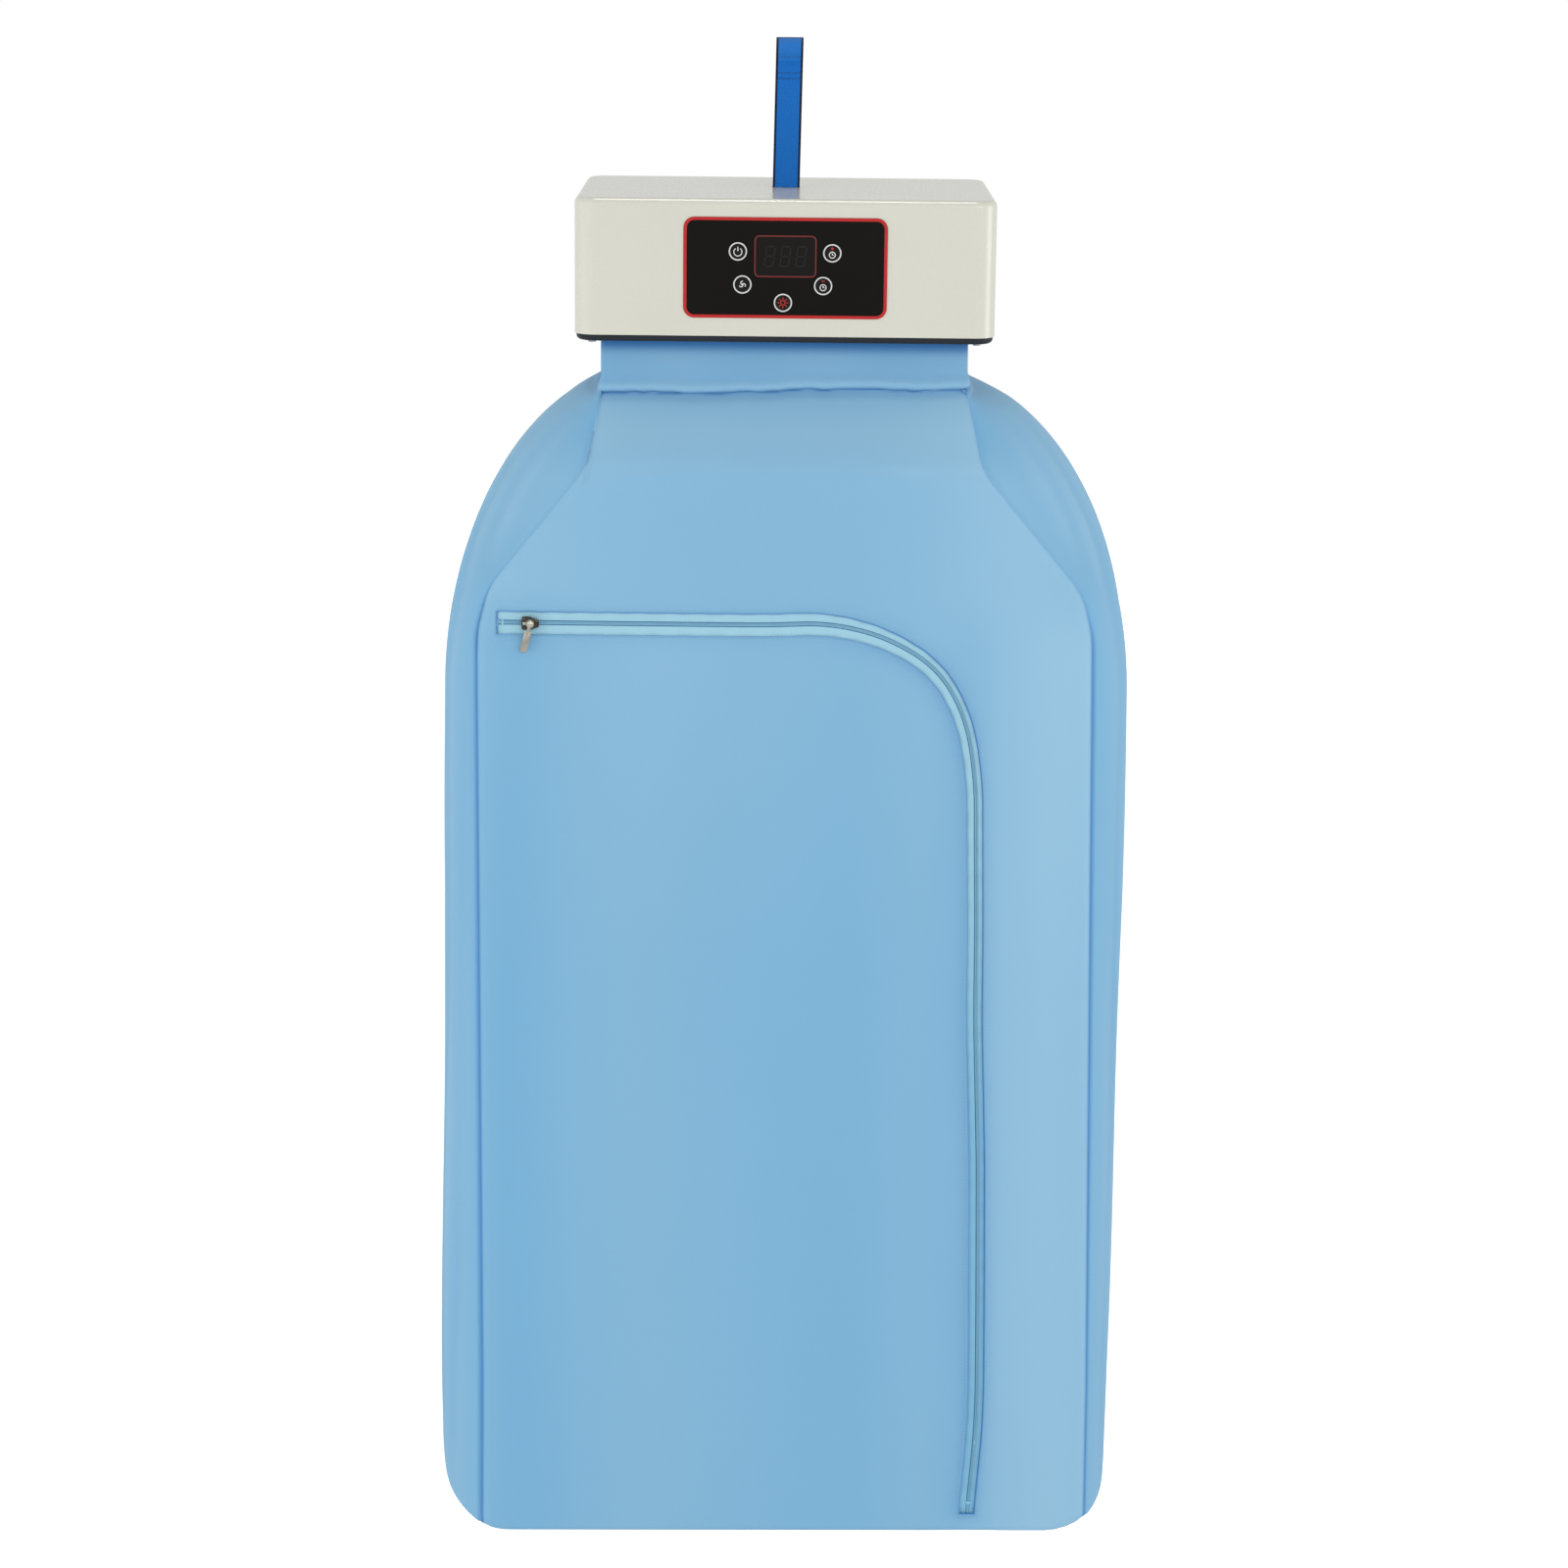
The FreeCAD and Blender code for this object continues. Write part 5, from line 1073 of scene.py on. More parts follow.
def neck_tones(x, y, z):
    # Painted shade on the neck: a little all over, a thin dark line at its lower edge and a deep band under
    # the head's lip. The fold tone is painted light on the rolled edge, with soft upright bands.
    above = z - neck_line(x)
    neck_edge_shadow = bell(above, 0.0005)
    lip_shadow = np.exp(-((neck_high.z - z) / 0.0085) ** 3)
    rolled = bell(above - 0.0045, 0.003)
    painted_shade = unit(0.16 - 0.1 * rolled + 0.6 * neck_edge_shadow + 0.8 * lip_shadow)
    return painted_shade, 8.0 * np.sin(60.0 * x) * above + 0.8 * rolled


neck = sewn_grid("bag_neck", 420, 34, place_neck, neck_tones)
thicken(neck, CLOTH, (0.0, 0.0, 0.5 * (NECK + neck_high.z)))
hand_over(neck, "head_and_bag", "bag_fabric", cloth_finish, "neck_sleeve")

# %% [markdown]
# ## The bottom and its eyelets
# The bottom closes the bag between the hems, with two rows of metal eyelets that let the damp air out.
# The grid is cut to the hem's outline, thickened, and the holes are cut with a Boolean modifier. Each
# eyelet is turned as a ring round its hole by the Spin tool, from the outline of its rolled rim.

# %% Bottom panel
def place_bottom(across, up):
    y = (float(depth(HEM)) - HEM_CURL) * (2.0 * up - 1.0)
    share, level = np.linspace(0.0, 1.0, 401), np.full(401, HEM)
    right, left = gusset_point(1.0, share, level), gusset_point(-1.0, share, level)
    right_x, left_x = np.interp(y, right[1], right[0]), np.interp(y, left[1], left[0])
    return right_x + (left_x - right_x) * across, y, np.full_like(y, HEM + 0.0002)


def bottom_tones(x, y, z):
    return np.zeros_like(x), np.sin(40.0 * x) * 0.3


bottom = thicken(sewn_grid("bag_bottom", 100, 44, place_bottom, bottom_tones), CLOTH)
EYELET_PITCH, EYELET_ROW, EYELET_HOLE, EYELET_RIM, HOLE_SLACK = 0.086, 0.055, 0.006, 0.0012, 0.0006
eyelet_places = [(EYELET_PITCH * (k - 2), row * EYELET_ROW) for row in (-1, 1) for k in range(5)]
deselect()
cutters = []
for x, y in eyelet_places:
    bpy.ops.mesh.primitive_cylinder_add(vertices=32, radius=EYELET_HOLE + HOLE_SLACK, depth=0.02,
                                        location=(x, y, HEM))
    cutters.append(bpy.context.object)
cutter = settle(join("eyelet_cutter", cutters))
holes = bottom.modifiers.new("holes", "BOOLEAN")
holes.object = cutter
holes.operation = "DIFFERENCE"
settle(bottom)
bpy.data.objects.remove(cutter)
hand_over(bottom, "head_and_bag", "bag_fabric", cloth_finish, "bottom_panel")

# %% Eyelets
def eyelet(name, x, y):
    """A rolled metal ring, spun from the outline of its rim."""
    deselect()
    level = HEM + float(hang(x, HEM))
    rim = (x + EYELET_HOLE + EYELET_RIM, y, level)
    upright = (math.pi / 2, 0.0, 0.0)
    bpy.ops.mesh.primitive_circle_add(vertices=10, radius=EYELET_RIM, location=rim, rotation=upright)
    ring = settle(named(name))
    with editing(ring):
        bpy.ops.transform.resize(value=(1.5, 1.0, 1.0), center_override=(x + EYELET_HOLE, y, level))
        bpy.ops.mesh.spin(steps=32, angle=math.tau, center=(x, y, level), axis=(0.0, 0.0, 1.0))
        close_mesh()
    return smooth(ring, 50)


eyelets = join("bag_eyelets", [eyelet("eyelet", x, y) for x, y in eyelet_places])
hand_over(eyelets, "head_and_bag", "bright_metal", FINISHES["bright_metal"], "vent_eyelets")

# %% [markdown]
# ## The zip's tapes
# A zip is two woven tapes, one sewn to each side of the opening, with a row of teeth along their facing
# edges. The outer tape stays with the bag and the inner one goes with the door. Each is a long grid:
# columns across the tape, so that UV x runs from its hidden edge to its teeth, and rows along it. The
# tapes go under the cloth on both sides, and at each end the outer tape also fills the small corner
# between the zip's end and the fold.

# %% Course of a tape
TAPE, TAPE_UNDER, TAPE_TUCK, TAPE_GAP, TAPE_OVER = 0.0006, 0.0010, 0.0014, 0.0001, 0.003
TAPE_EDGE = INNER_TOP + TAPE_TUCK
DARK_FROM, DARK_RUN = 0.45, 0.26


def tape_y(x, z):
    """The tapes' front: behind the cloth beside them, and level across."""
    return panel_y(x, z) + ZIP_VALLEY + TAPE_UNDER


def fold_along(off):
    """Distances along the zip where a line beside it meets the fold, at its start and its end."""
    return -off * FOLD_SLOPE, np.minimum(ZIP_LENGTH + (off + end_stray) / FOLD_SLOPE, ZIP_LENGTH)


def outer_reach(along):
    return outer_edge(along) + TAPE_TUCK


def inner_reach(along):
    return -TAPE_EDGE + 0.0 * along


def tape_tones(x, y, z):
    """The zip hangs deeper in the cloth on its way down, so painted shade darkens it there."""
    return unit((zip_near(x, z)[1] - DARK_FROM) / DARK_RUN), np.zeros_like(x)


def tape(name, rows, reach, gap, limits):
    """A strip from its hidden edge to a small gap off the zip line.

    reach(along) says how far off its hidden edge is, and limits(off) where it starts and ends.
    """
    def place(across, up):
        start, end = limits(reach(0.0) * (1.0 - across) + gap * across)
        along = start + (end - start) * up
        x, z = zip_line(along, reach(along) * (1.0 - across) + gap * across)
        return x, tape_y(x, z), z

    return thicken(sewn_grid(name, 8, rows, place, tape_tones), TAPE)


TAPE_END = ZIP_LENGTH + TAPE_OVER
print("tapes run to", round(TAPE_END, 3), "m")

# %% Zip tapes
fixed_tapes = [
    tape("tape_main", 420, outer_reach, TAPE_GAP, lambda off: (-TAPE_OVER, TAPE_END)),
    tape("tape_start", 4, inner_reach, TAPE_GAP, lambda off: (-TAPE_OVER, fold_along(off)[0])),
    tape("tape_end", 6, inner_reach, TAPE_GAP, lambda off: (fold_along(off)[1], TAPE_END)),
]
hand_over(join("zip_tape_fixed", fixed_tapes), "head_and_bag", "zip_tape", tape_finish, "zip_tape_outer")

door_tape = tape("zip_tape_door", 420, inner_reach, -TAPE_GAP, fold_along)
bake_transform(door_tape, "head_and_bag", "door", fold_from, fold_to)
hand_over(door_tape, "door", "zip_tape", tape_finish, "zip_tape_inner")

# %% [markdown]
# ## The zip's teeth
# Hundreds of teeth call for a simple shape. One is a bevelled block of 26 faces, modelled once and then
# copied along the zip by placing its points beside the line at each step. The two rows are half a step
# apart, so that they mesh. The same copier lays the thread that sews the tapes down.

# %% Helpers for a shape copied along the zip
def block(name, size, bevel, segments=1):
    """A block with its edges bevelled."""
    deselect()
    bpy.ops.mesh.primitive_cube_add(size=1.0)
    piece = named(name)
    piece.scale = size
    with editing(settle(piece)):
        bpy.ops.mesh.bevel(offset=bevel, segments=segments, affect="EDGES")
    return piece


def link(name, data):
    """Puts a new mesh or curve into the scene and picks it."""
    piece = bpy.data.objects.new(name, data)
    scene.collection.objects.link(piece)
    pick(piece)
    return piece


def lay_along(name, shape, along, off, lift):
    """Copies a small shape along the zip: its x follows the zip, its z goes outwards, its y is the depth."""
    points = points_of(shape)
    off = off + np.zeros_like(along)
    x, z = zip_line((along[:, None] + points[:, 0]).ravel(), (off[:, None] + points[:, 2]).ravel())
    y = (lift(*zip_line(along, off))[:, None] + points[:, 1]).ravel()
    faces = [tuple(face.vertices) for face in shape.data.polygons]
    copies = [tuple(k * len(points) + v for v in face) for k in range(len(along)) for face in faces]
    mesh = bpy.data.meshes.new(name)
    mesh.from_pydata(np.column_stack((x, y, z + hang(x, z))).tolist(), [], copies)
    piece = link(name, mesh)
    with editing(piece):
        bpy.ops.mesh.normals_make_consistent(inside=False)
    return smooth(piece, 40)


print("level run of the zip", round(TOP_RUN, 4), "m")

# %% Teeth
TOOTH_STEP, TOOTH_OFF, TOOTH_LIFT = 0.0018, 0.0006, 0.00045
FIRST_TOOTH, LAST_TOOTH = 0.0062, ZIP_LENGTH - 0.0105


def tooth_y(x, z):
    return tape_y(x, z) - TOOTH_LIFT


def row_of_teeth(name, off, shift):
    return lay_along(name, tooth, np.arange(FIRST_TOOTH + shift, LAST_TOOTH, TOOTH_STEP), off, tooth_y)


tooth = block("tooth", (0.0012, 0.0011, 0.0010), 0.0002)
teeth = row_of_teeth("zip_teeth_fixed", TOOTH_OFF, 0.0)
hand_over(teeth, "head_and_bag", "zip_teeth", teeth_finish, "zip_teeth_outer")
teeth = row_of_teeth("zip_teeth_door", -TOOTH_OFF, TOOTH_STEP / 2)
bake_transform(teeth, "head_and_bag", "door", fold_from, fold_to)
hand_over(teeth, "door", "zip_teeth", teeth_finish, "zip_teeth_inner")
bpy.data.objects.remove(tooth)

# %% Stitches
STITCH_STEP, STITCH_IN, STITCH_LIFT = 0.0029, 0.0018, 0.0001
FIRST_STITCH, DOOR_START, DOOR_SHORT = 0.002, 0.004, 0.012


def cloth_y(x, z):
    return front_y(x, z) - STITCH_LIFT


stitch = block("stitch", (0.0021, 0.0005, 0.0005), 0.00012)
fixed_run = np.arange(FIRST_STITCH, ZIP_LENGTH, STITCH_STEP)
seam = lay_along("zip_stitches_fixed", stitch, fixed_run, outer_edge(fixed_run) + STITCH_IN, cloth_y)
hand_over(seam, "head_and_bag", "zip_tape", pale_thread)
door_run = np.arange(door_from + DOOR_START, door_to - DOOR_SHORT, STITCH_STEP)
seam = lay_along("zip_stitches_door", stitch, door_run, -inner_edge(door_run) - STITCH_IN, cloth_y)
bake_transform(seam, "head_and_bag", "door", fold_from, fold_to)
hand_over(seam, "door", "zip_tape", pale_thread)
bpy.data.objects.remove(stitch)

# %% End stops and tacks
STOP_PLACES = np.array([0.0042, ZIP_LENGTH - 0.0085])
TACK_STEP, TACK_LIFT = 0.0028, 0.0003


def end_y(x, z):
    return tape_y(x, z) - TACK_LIFT


stop = block("stop", (0.0022, 0.0013, 0.0044), 0.0004)
stops = lay_along("zip_end_stops", stop, STOP_PLACES, 0.0, tooth_y)
bpy.data.objects.remove(stop)
hand_over(stops, "head_and_bag", "bright_metal", teeth_finish, "zip_stops")
bar = block("tack", (0.0005, 0.0005, 0.0021), 0.00012)
start_off, end_off = np.arange(-0.0075, 0.0075, TACK_STEP), np.arange(-0.0056, 0.0040, TACK_STEP)
tack_rows = ((0.0008, start_off), (ZIP_LENGTH - 0.0012, end_off), (ZIP_LENGTH - 0.0032, end_off))
bars = [lay_along("tack_row", bar, end + np.zeros_like(off), off, end_y) for end, off in tack_rows]
bpy.data.objects.remove(bar)
hand_over(join("zip_end_tacks", bars), "head_and_bag", "zip_teeth", pale_thread)

# %% [markdown]
# ## The slider and its pull
# The slider is a small plated casting that closes the teeth: a plate with a narrower nose, folded wings
# above and below, and a rivet with a domed head. The pull hangs on the rivet by a ring and ends in a flat
# tab. Each is made of a few bevelled or spun shapes, joined. The pull is made upright and then turned
# about its rivet.

# %% Metals, sizes and shapes at the rivet
# The slider's last colour is painted shade for its recessed parts.
slider_metal = moulded("slider_metal", (196, 190, 176), (212, 206, 192), 0.2, 1400, 0.1, METAL, (74, 70, 64))
pull_metal = moulded("pull_metal", (170, 167, 157), (188, 185, 175), 0.26, 3000, 0.03, METAL)
slider_low, slider_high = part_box("zip_slider")
pull_low, pull_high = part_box("zip_pull")
RIVET = (0.5 * (slider_low.x + slider_high.x), ZIP_TOP)
PLATE_BACK, PLATE_FRONT, PLATE_HALF = -0.1157, -0.1175, 0.0046
NOSE_FROM, NOSE_SHARE = RIVET[0] + 0.001, 0.38
WING_FROM, WING_TO = 0.0040, 0.0050
PULL_BACK, PULL_FRONT = pull_high.y, pull_low.y


def moved_block(name, low, high, bevel, segments=2):
    """A bevelled block between two corners."""
    piece = block(name, [b - a for a, b in zip(low, high)], bevel, segments)
    piece.location = [0.5 * (a + b) for a, b in zip(low, high)]
    return settle(piece)


def turned(name, outline, x, z, steps=24):
    """A round shape about an axis along y, spun from its outline of (radius, y) points."""
    mesh = bpy.data.meshes.new(name)
    edges = [(k, k + 1) for k in range(len(outline) - 1)]
    mesh.from_pydata([(x + radius, y, z) for radius, y in outline], edges, [])
    piece = link(name, mesh)
    with editing(piece):
        bpy.ops.mesh.spin(steps=steps, angle=math.tau, center=(x, 0.0, z), axis=(0.0, 1.0, 0.0))
        close_mesh()
    return piece


def by_rivet(name, x_span, y_span, z_span, bevel, segments=2):
    """A bevelled block whose x and z are measured from the rivet."""
    low, high = ((RIVET[0] + x, y, RIVET[1] + z) for x, y, z in zip(x_span, y_span, z_span))
    return moved_block(name, low, high, bevel, segments)


print("rivet at", [round(place, 4) for place in RIVET])

# %% Slider
plate = moved_block("slider_plate", (slider_low.x, PLATE_FRONT, RIVET[1] - PLATE_HALF),
                    (slider_high.x, PLATE_BACK, RIVET[1] + PLATE_HALF), 0.0006)
with editing(plate):
    bpy.ops.mesh.bisect(plane_co=(NOSE_FROM, 0.0, 0.0), plane_no=(1.0, 0.0, 0.0))
at = points_of(plate)
nose = unit((at[:, 0] - NOSE_FROM) / (slider_high.x - NOSE_FROM))
at[:, 2] = RIVET[1] + (at[:, 2] - RIVET[1]) * (1.0 - NOSE_SHARE * nose)
plate.data.vertices.foreach_set("co", at.ravel())
plate.data.update()
slider_parts = [plate]
for wing in (-1, 1):
    low_z, high_z = sorted((RIVET[1] + wing * WING_FROM, RIVET[1] + wing * WING_TO))
    slider_parts.append(moved_block("slider_wing", (slider_low.x + 0.0008, PLATE_FRONT + 0.0004, low_z),
                                    (RIVET[0] + 0.0005, PLATE_BACK + 0.0012, high_z), 0.0003))
RIVET_FOOT, RIVET_HEAD = PLATE_BACK - 0.0004, slider_low.y
rivet_outline = [(0.0, RIVET_FOOT), (0.0014, RIVET_FOOT), (0.0014, PULL_FRONT - 0.0002),
                 (0.0024, PULL_FRONT - 0.0003), (0.0022, RIVET_HEAD + 0.0006), (0.0014, RIVET_HEAD + 0.0001),
                 (0.0, RIVET_HEAD)]
slider_parts.append(turned("slider_rivet", rivet_outline, *RIVET))
ridge_depths = (PLATE_FRONT - 0.0007, PLATE_FRONT + 0.0003)
slider_parts.append(by_rivet("slider_ridge", (-0.0056, -0.0030), ridge_depths, (-0.0010, 0.0010), 0.0003))
slider = smooth(join("zip_slider_body", slider_parts), 40)
# Painted shade: the plate and the wings, behind the rivet's head and the ridge, take the dark colour.
mark(slider, "painted_shade", points_of(slider)[:, 1] > PLATE_FRONT - 0.0002)
hand_over(slider, "slider", "bright_metal", slider_metal, "zip_slider")

# %% Pull
PULL_TILT, PULL_REACH, PULL_HALF = math.radians(14), 0.0220, 0.0028
STEM_HALF, PANEL_HALF = 0.0012, 0.0018
ring_outline = [(0.0017, PULL_FRONT + 0.0002), (0.0030, PULL_FRONT + 0.0001), (0.0033, PULL_FRONT + 0.0006),
                (0.0033, PULL_BACK - 0.0004), (0.0030, PULL_BACK), (0.0017, PULL_BACK),
                (0.0017, PULL_FRONT + 0.0002)]
stem_depths = (PULL_FRONT + 0.0002, PULL_BACK - 0.0001)
panel_depths = (PULL_FRONT - 0.0002, PULL_FRONT + 0.0003)
tab_heights, panel_heights = (-PULL_REACH, -0.0058), (-PULL_REACH + 0.0014, -0.0078)
pull_parts = [
    turned("pull_ring", ring_outline, *RIVET),
    by_rivet("pull_stem", (-STEM_HALF, STEM_HALF), stem_depths, (-0.0066, -0.0024), 0.0003),
    by_rivet("pull_tab", (-PULL_HALF, PULL_HALF), (PULL_FRONT, PULL_BACK), tab_heights, 0.0005, 3),
    by_rivet("pull_panel", (-PANEL_HALF, PANEL_HALF), panel_depths, panel_heights, 0.00015),
]
pull = smooth(join("zip_pull_tab", pull_parts), 40)
with editing(pull):
    bpy.ops.transform.rotate(value=-PULL_TILT, orient_axis="Y", center_override=(RIVET[0], 0.0, RIVET[1]))
at = points_of(pull)
print("pull hangs to x", round(at[:, 0].min(), 4), "z", round(at[:, 2].min(), 4))
hand_over(pull, "pull", "bright_metal", pull_metal, "zip_pull")

# %% [markdown]
# ## The hanging strap
# The strap is a length of blue webbing, folded over into an eye at the top and sewn to itself, so it
# hangs from any hook. One grid follows the webbing up the front, round the eye and down the back. Both
# plies are thickened, and two rows of stitches hold the eye shut. A short tail of the same webbing stays
# fixed inside the head's slot.

# %% Strap
strap_low, strap_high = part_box("hang_strap")
STRAP_HALF, PLY = strap_high.x, 0.0011
EYE = strap_high.z - 0.5 * PLY
PLY_OUT = 0.00065
STRAP_LEAN, EYE_EASE = 0.016, 0.016


def strap_path(share):
    """Depth and height along the webbing, from the front foot round the eye to the back foot."""
    drop = math.sqrt((2 * EYE) ** 2 - EYE ** 2)
    lower = np.linspace(0.0, 1.0, 60)
    swing = np.radians(np.linspace(-150.0, 150.0, 60))
    front_z = strap_low.z + (-drop - strap_low.z) * lower
    ease = unit((front_z + drop + EYE_EASE) / EYE_EASE)
    front_ply = np.column_stack((-PLY_OUT - 0.0004 * ease ** 2, front_z))
    eye = np.column_stack((EYE * np.sin(swing), EYE * np.cos(swing)))
    neck_in = np.linspace(front_ply[-1], eye[0], 12)[1:-1]
    half = np.vstack((front_ply, neck_in))
    return point_along(np.vstack((half, eye, half[::-1] * [-1.0, 1.0])), share)


def strap_middle(z):
    """The strap hangs a little to the right of upright."""
    return STRAP_LEAN * (z - strap_low.z)


def place_strap(across, up):
    y, z = strap_path(up)
    return STRAP_HALF * (2.0 * across - 1.0) + strap_middle(z), y, z


strap = thicken(sewn_grid("hanging_strap", 14, 260, place_strap), PLY, (0.0, 0.0, -0.05), 0.0)
EYE_ROWS, EYE_PITCH, EYE_FACE = (-0.0185, -0.0225), 0.0026, 0.0016
EYE_STITCH = np.array((0.0009, 0.0002, 0.0003))
strap_stitches = []
for side in (-1, 1):
    for z in EYE_ROWS:
        for k in range(-3, 4):
            at = np.array((strap_middle(z) + k * EYE_PITCH, side * EYE_FACE, z))
            strap_stitches.append(moved_block("strap_stitch", at - EYE_STITCH, at + EYE_STITCH, 0.0001, 1))
strap_thread = join("strap_stitches", strap_stitches)
hand_over(strap, "strap", "webbing", strap_finish, "hang_strap")
hand_over(strap_thread, "strap", "webbing", navy_thread)

# %% Tail of the strap
tail_low, tail_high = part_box("strap_tail")


def place_tail(across, up):
    """The tail goes down the front of its pin, round below it and up the back."""
    radius = tail_high.y - 0.5 * PLY
    low = tail_low.z + 0.5 * PLY + radius
    swing = np.radians(np.linspace(180.0, 360.0, 30))
    bend = np.column_stack((radius * np.cos(swing), low + radius * np.sin(swing)))
    loop = np.vstack(([[-PLY_OUT, tail_high.z]], bend, [[PLY_OUT, tail_high.z]]))
    return STRAP_HALF * (2.0 * across - 1.0), *point_along(loop, up)


tail = thicken(sewn_grid("strap_tail_loop", 8, 60, place_tail), PLY, (0.0, 0.0, tail_low.z + 0.008), 0.0)
hand_over(tail, "head_and_bag", "webbing", strap_finish, "strap_tail")

# %% [markdown]
# ## The print on the control panel
# The panel carries five round keys, a dark display with a thin red frame and small symbols. The symbols
# are drawn with a pen: a curve object with a round bevel follows each stroke, becomes a mesh and is
# pressed flat onto its key. Symbols on a key move with the key. The display shows three unlit digits,
# faint on its smoked lens.

# %% A pen
def pen(name, strokes, width, centre, face, depth=0.00012):
    """Flat strokes in the panel's plane. Points are in millimetres from the centre, x right and z up."""
    curve = bpy.data.curves.new(name, "CURVE")
    curve.dimensions = "3D"
    curve.bevel_depth = width * 0.0005
    curve.bevel_resolution = 1
    curve.use_fill_caps = True
    for stroke, closed in strokes:
        spline = curve.splines.new("POLY")
        spline.points.add(len(stroke) - 1)
        for point, (x, z) in zip(spline.points, stroke):
            point.co = (x * 0.001, 0.0, z * 0.001, 1.0)
        spline.use_cyclic_u = closed
    link(name, curve)
    bpy.ops.object.convert(target="MESH")
    drawn = named(name)
    drawn.scale = (1.0, 2 * depth / (width * 0.001), 1.0)
    drawn.location = (centre[0], face, centre[1])
    return smooth(settle(drawn), 60)


def middle_of(low, high):
    """The x and the z of a box's middle."""
    return 0.5 * (low.x + high.x), 0.5 * (low.z + high.z)


def larger(strokes, scale):
    return [([(x * scale, z * scale) for x, z in stroke], closed) for stroke, closed in strokes]


def arc(x, z, radius, start, end, count=28):
    angles = np.radians(np.linspace(start, end, count))
    return [(x + radius * math.cos(a), z + radius * math.sin(a)) for a in angles]


def round_stroke(x, z, radius, count=40):
    return (arc(x, z, radius, 0.0, 360.0 * (count - 1) / count, count), True)


print("a ring has", len(round_stroke(0.0, 0.0, 1.0)[0]), "points")

# %% Signs on the keys
print_white = moulded("print_white", (206, 208, 206), (220, 222, 220), 0.5, 2000, 0.02)
print_red = moulded("print_red", (176, 26, 24), (196, 34, 30), 0.45, 2000, 0.02)
blades = []
for angle in (90, 210, 330):
    root = arc(0.0, 0.0, 0.9, angle, angle, 1)[0]
    blades.append((arc(*root, 0.95, angle - 20, angle + 170, 12), False))
clock = [round_stroke(0.0, -1.0, 1.7, 28), ([(0.0, 0.0), (0.0, -1.0), (0.8, -1.0)], False)]
KEY_SIGNS = {
    "power": ([(arc(0.0, -0.3, 2.3, 125, 415), False), ([(0.0, 0.2), (0.0, 2.6)], False)], []),
    "speed": (blades + [round_stroke(0.0, 0.0, 0.35, 12)], []),
    "time_up": (clock, [([(-0.9, 2.7), (0.9, 2.7)], False), ([(0.0, 1.8), (0.0, 3.6)], False)]),
    "time_down": (clock, [([(-0.9, 2.7), (0.9, 2.7)], False)]),
    "lamp": ([], [round_stroke(0.0, 0.0, 1.3, 24)] + [
        ([(2.0 * math.cos(a), 2.0 * math.sin(a)), (3.1 * math.cos(a), 3.1 * math.sin(a))], False)
        for a in np.radians(range(0, 360, 45))]),
}
SIGN_SCALE, SIGN_SUNK = 1.3, 0.00025
RING_RADIUS, RING_WIDTH, SIGN_WIDTH = 6.25, 1.1, 0.8
for key, (white, red) in KEY_SIGNS.items():
    low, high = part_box(key + "_button")
    prints = [
        ("_ring", [round_stroke(0.0, 0.0, RING_RADIUS, 56)], RING_WIDTH, low.y, print_white),
        ("_sign", larger(white, SIGN_SCALE), SIGN_WIDTH, low.y + SIGN_SUNK, print_white),
        ("_red_sign", larger(red, SIGN_SCALE), SIGN_WIDTH, low.y + SIGN_SUNK, print_red),
    ]
    for kind, strokes, width, face, ink in prints:
        if strokes:
            sign = pen(key + kind, strokes, width, middle_of(low, high), face)
            hand_over(sign, key + "_key", "key_black", ink)

# %% Display
dull = {"Specular IOR Level": 0.1}
print_ghost = moulded("print_ghost", (34, 32, 29), (40, 37, 34), 0.4, 2000, 0.02, dull)
frame_red = moulded("display_frame", (108, 24, 22), (124, 30, 26), 0.4, 2000, 0.02)
lens_low, lens_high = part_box("display_lens")
lens_middle = middle_of(lens_low, lens_high)
FRAME_X, FRAME_Z, FRAME_ROUND = 22.4, 14.9, 3.2
corners = []
for start, (sx, sz) in zip((0, 90, 180, 270), ((1, 1), (-1, 1), (-1, -1), (1, -1))):
    middle = (sx * (FRAME_X - FRAME_ROUND), sz * (FRAME_Z - FRAME_ROUND))
    corners += arc(*middle, FRAME_ROUND, start, start + 90, 8)
outline = pen("display_outline", [(corners, True)], 1.0, lens_middle, lens_low.y)
hand_over(outline, "head_and_bag", "smoked_lens", frame_red)

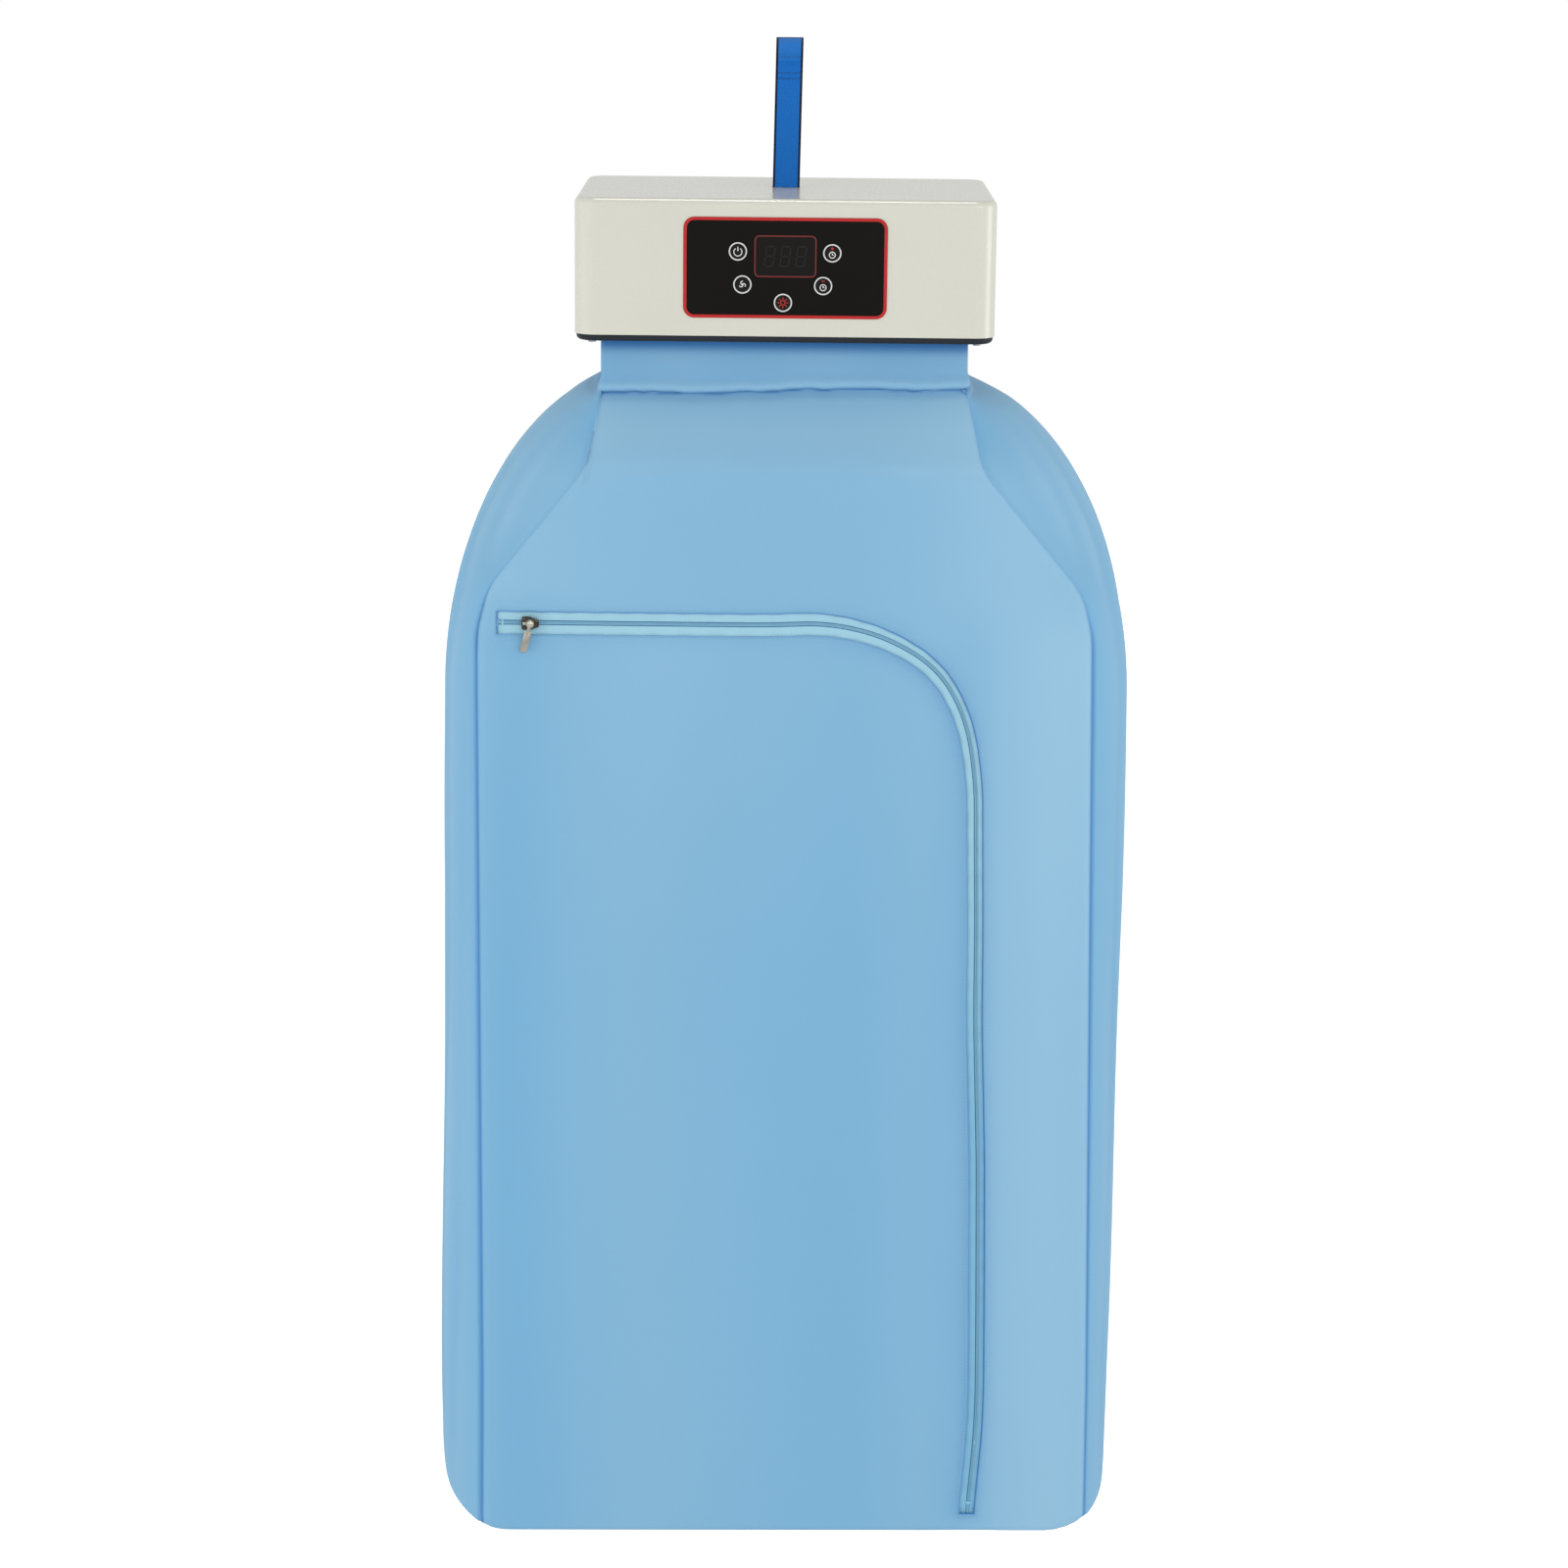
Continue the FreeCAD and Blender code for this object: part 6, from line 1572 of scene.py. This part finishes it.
SEGMENTS = [((-2.6, 7.2), (2.6, 7.2)), ((3.2, 6.6), (3.2, 0.6)), ((3.2, -0.6), (3.2, -6.6)),
            ((-2.6, -7.2), (2.6, -7.2)), ((-3.2, -0.6), (-3.2, -6.6)), ((-3.2, 6.6), (-3.2, 0.6)),
            ((-2.6, 0.0), (2.6, 0.0))]
DIGIT_PITCH, DIGIT_SLANT = 11.5, 0.12
digits = []
for middle in (-DIGIT_PITCH, 0.0, DIGIT_PITCH):
    for ends in SEGMENTS:
        digits.append(([(middle + x + DIGIT_SLANT * z, z) for x, z in ends], False))
display = pen("display_digits", digits, 1.3, lens_middle, lens_low.y, 0.00006)
hand_over(display, "head_and_bag", "smoked_lens", print_ghost)

# %% [markdown]
# ## The cut of the cloth
# Every panel was a flat piece before it was sewn, and its width and length are printed. A gusset bends
# one way only, so its strip is as wide as the arc of its section and as long as its widest line. The other
# cuts are read from the pattern: the front's has the door's opening taken out, and the bottom's follows
# the hem.

# %% Cut sizes of the panels
def outline_area(points):
    x, z = np.asarray(points).T
    return 0.5 * abs(float(np.sum(x * np.roll(z, -1) - z * np.roll(x, -1))))


def declare_cut(piece, width, length, area, *held_by):
    print(piece.name, "is cut from", round(float(width), 3), "by", round(float(length), 3), "m")


heights = np.linspace(HEM, NECK, 800)
widths = 2.0 * seam_half(heights)
panel_area = float(np.mean(widths)) * (NECK - HEM)
declare_cut(front, widths.max(), NECK - HEM, panel_area - outline_area(inner), "bag_neck")
declare_cut(back, widths.max(), NECK - HEM, panel_area, "bag_neck")
door_along = np.linspace(door_from, door_to, 400)
door_cut = np.column_stack(zip_line(door_along, -inner_edge(door_along)))
declare_cut(door, *np.ptp(door_cut, axis=0), outline_area(door_cut), "bag_front")
for side, strip in ((1.0, right_side), (-1.0, left_side)):
    seam_x, bulge, radius, limit = gusset_arc(side, heights)
    across = 2.0 * radius * limit
    steps = np.hypot(np.diff(seam_x + side * bulge), np.diff(heights))
    declare_cut(strip, across.max(), steps.sum(), float(np.sum(steps * across[1:])), "bag_neck")
declare_cut(neck, path_lengths(neck_loop)[-1], neck_high.z - NECK, None, "base_plate")
hem_share, hem_level = np.linspace(0.0, 1.0, 200), np.full(200, HEM)
hem_edges = [np.column_stack(gusset_point(side, hem_share, hem_level)) for side in (1.0, -1.0)]
bottom_cut = np.vstack((hem_edges[0], hem_edges[1][::-1]))
declare_cut(bottom, *np.ptp(bottom_cut, axis=0), outline_area(bottom_cut), "bag_front", "bag_back")
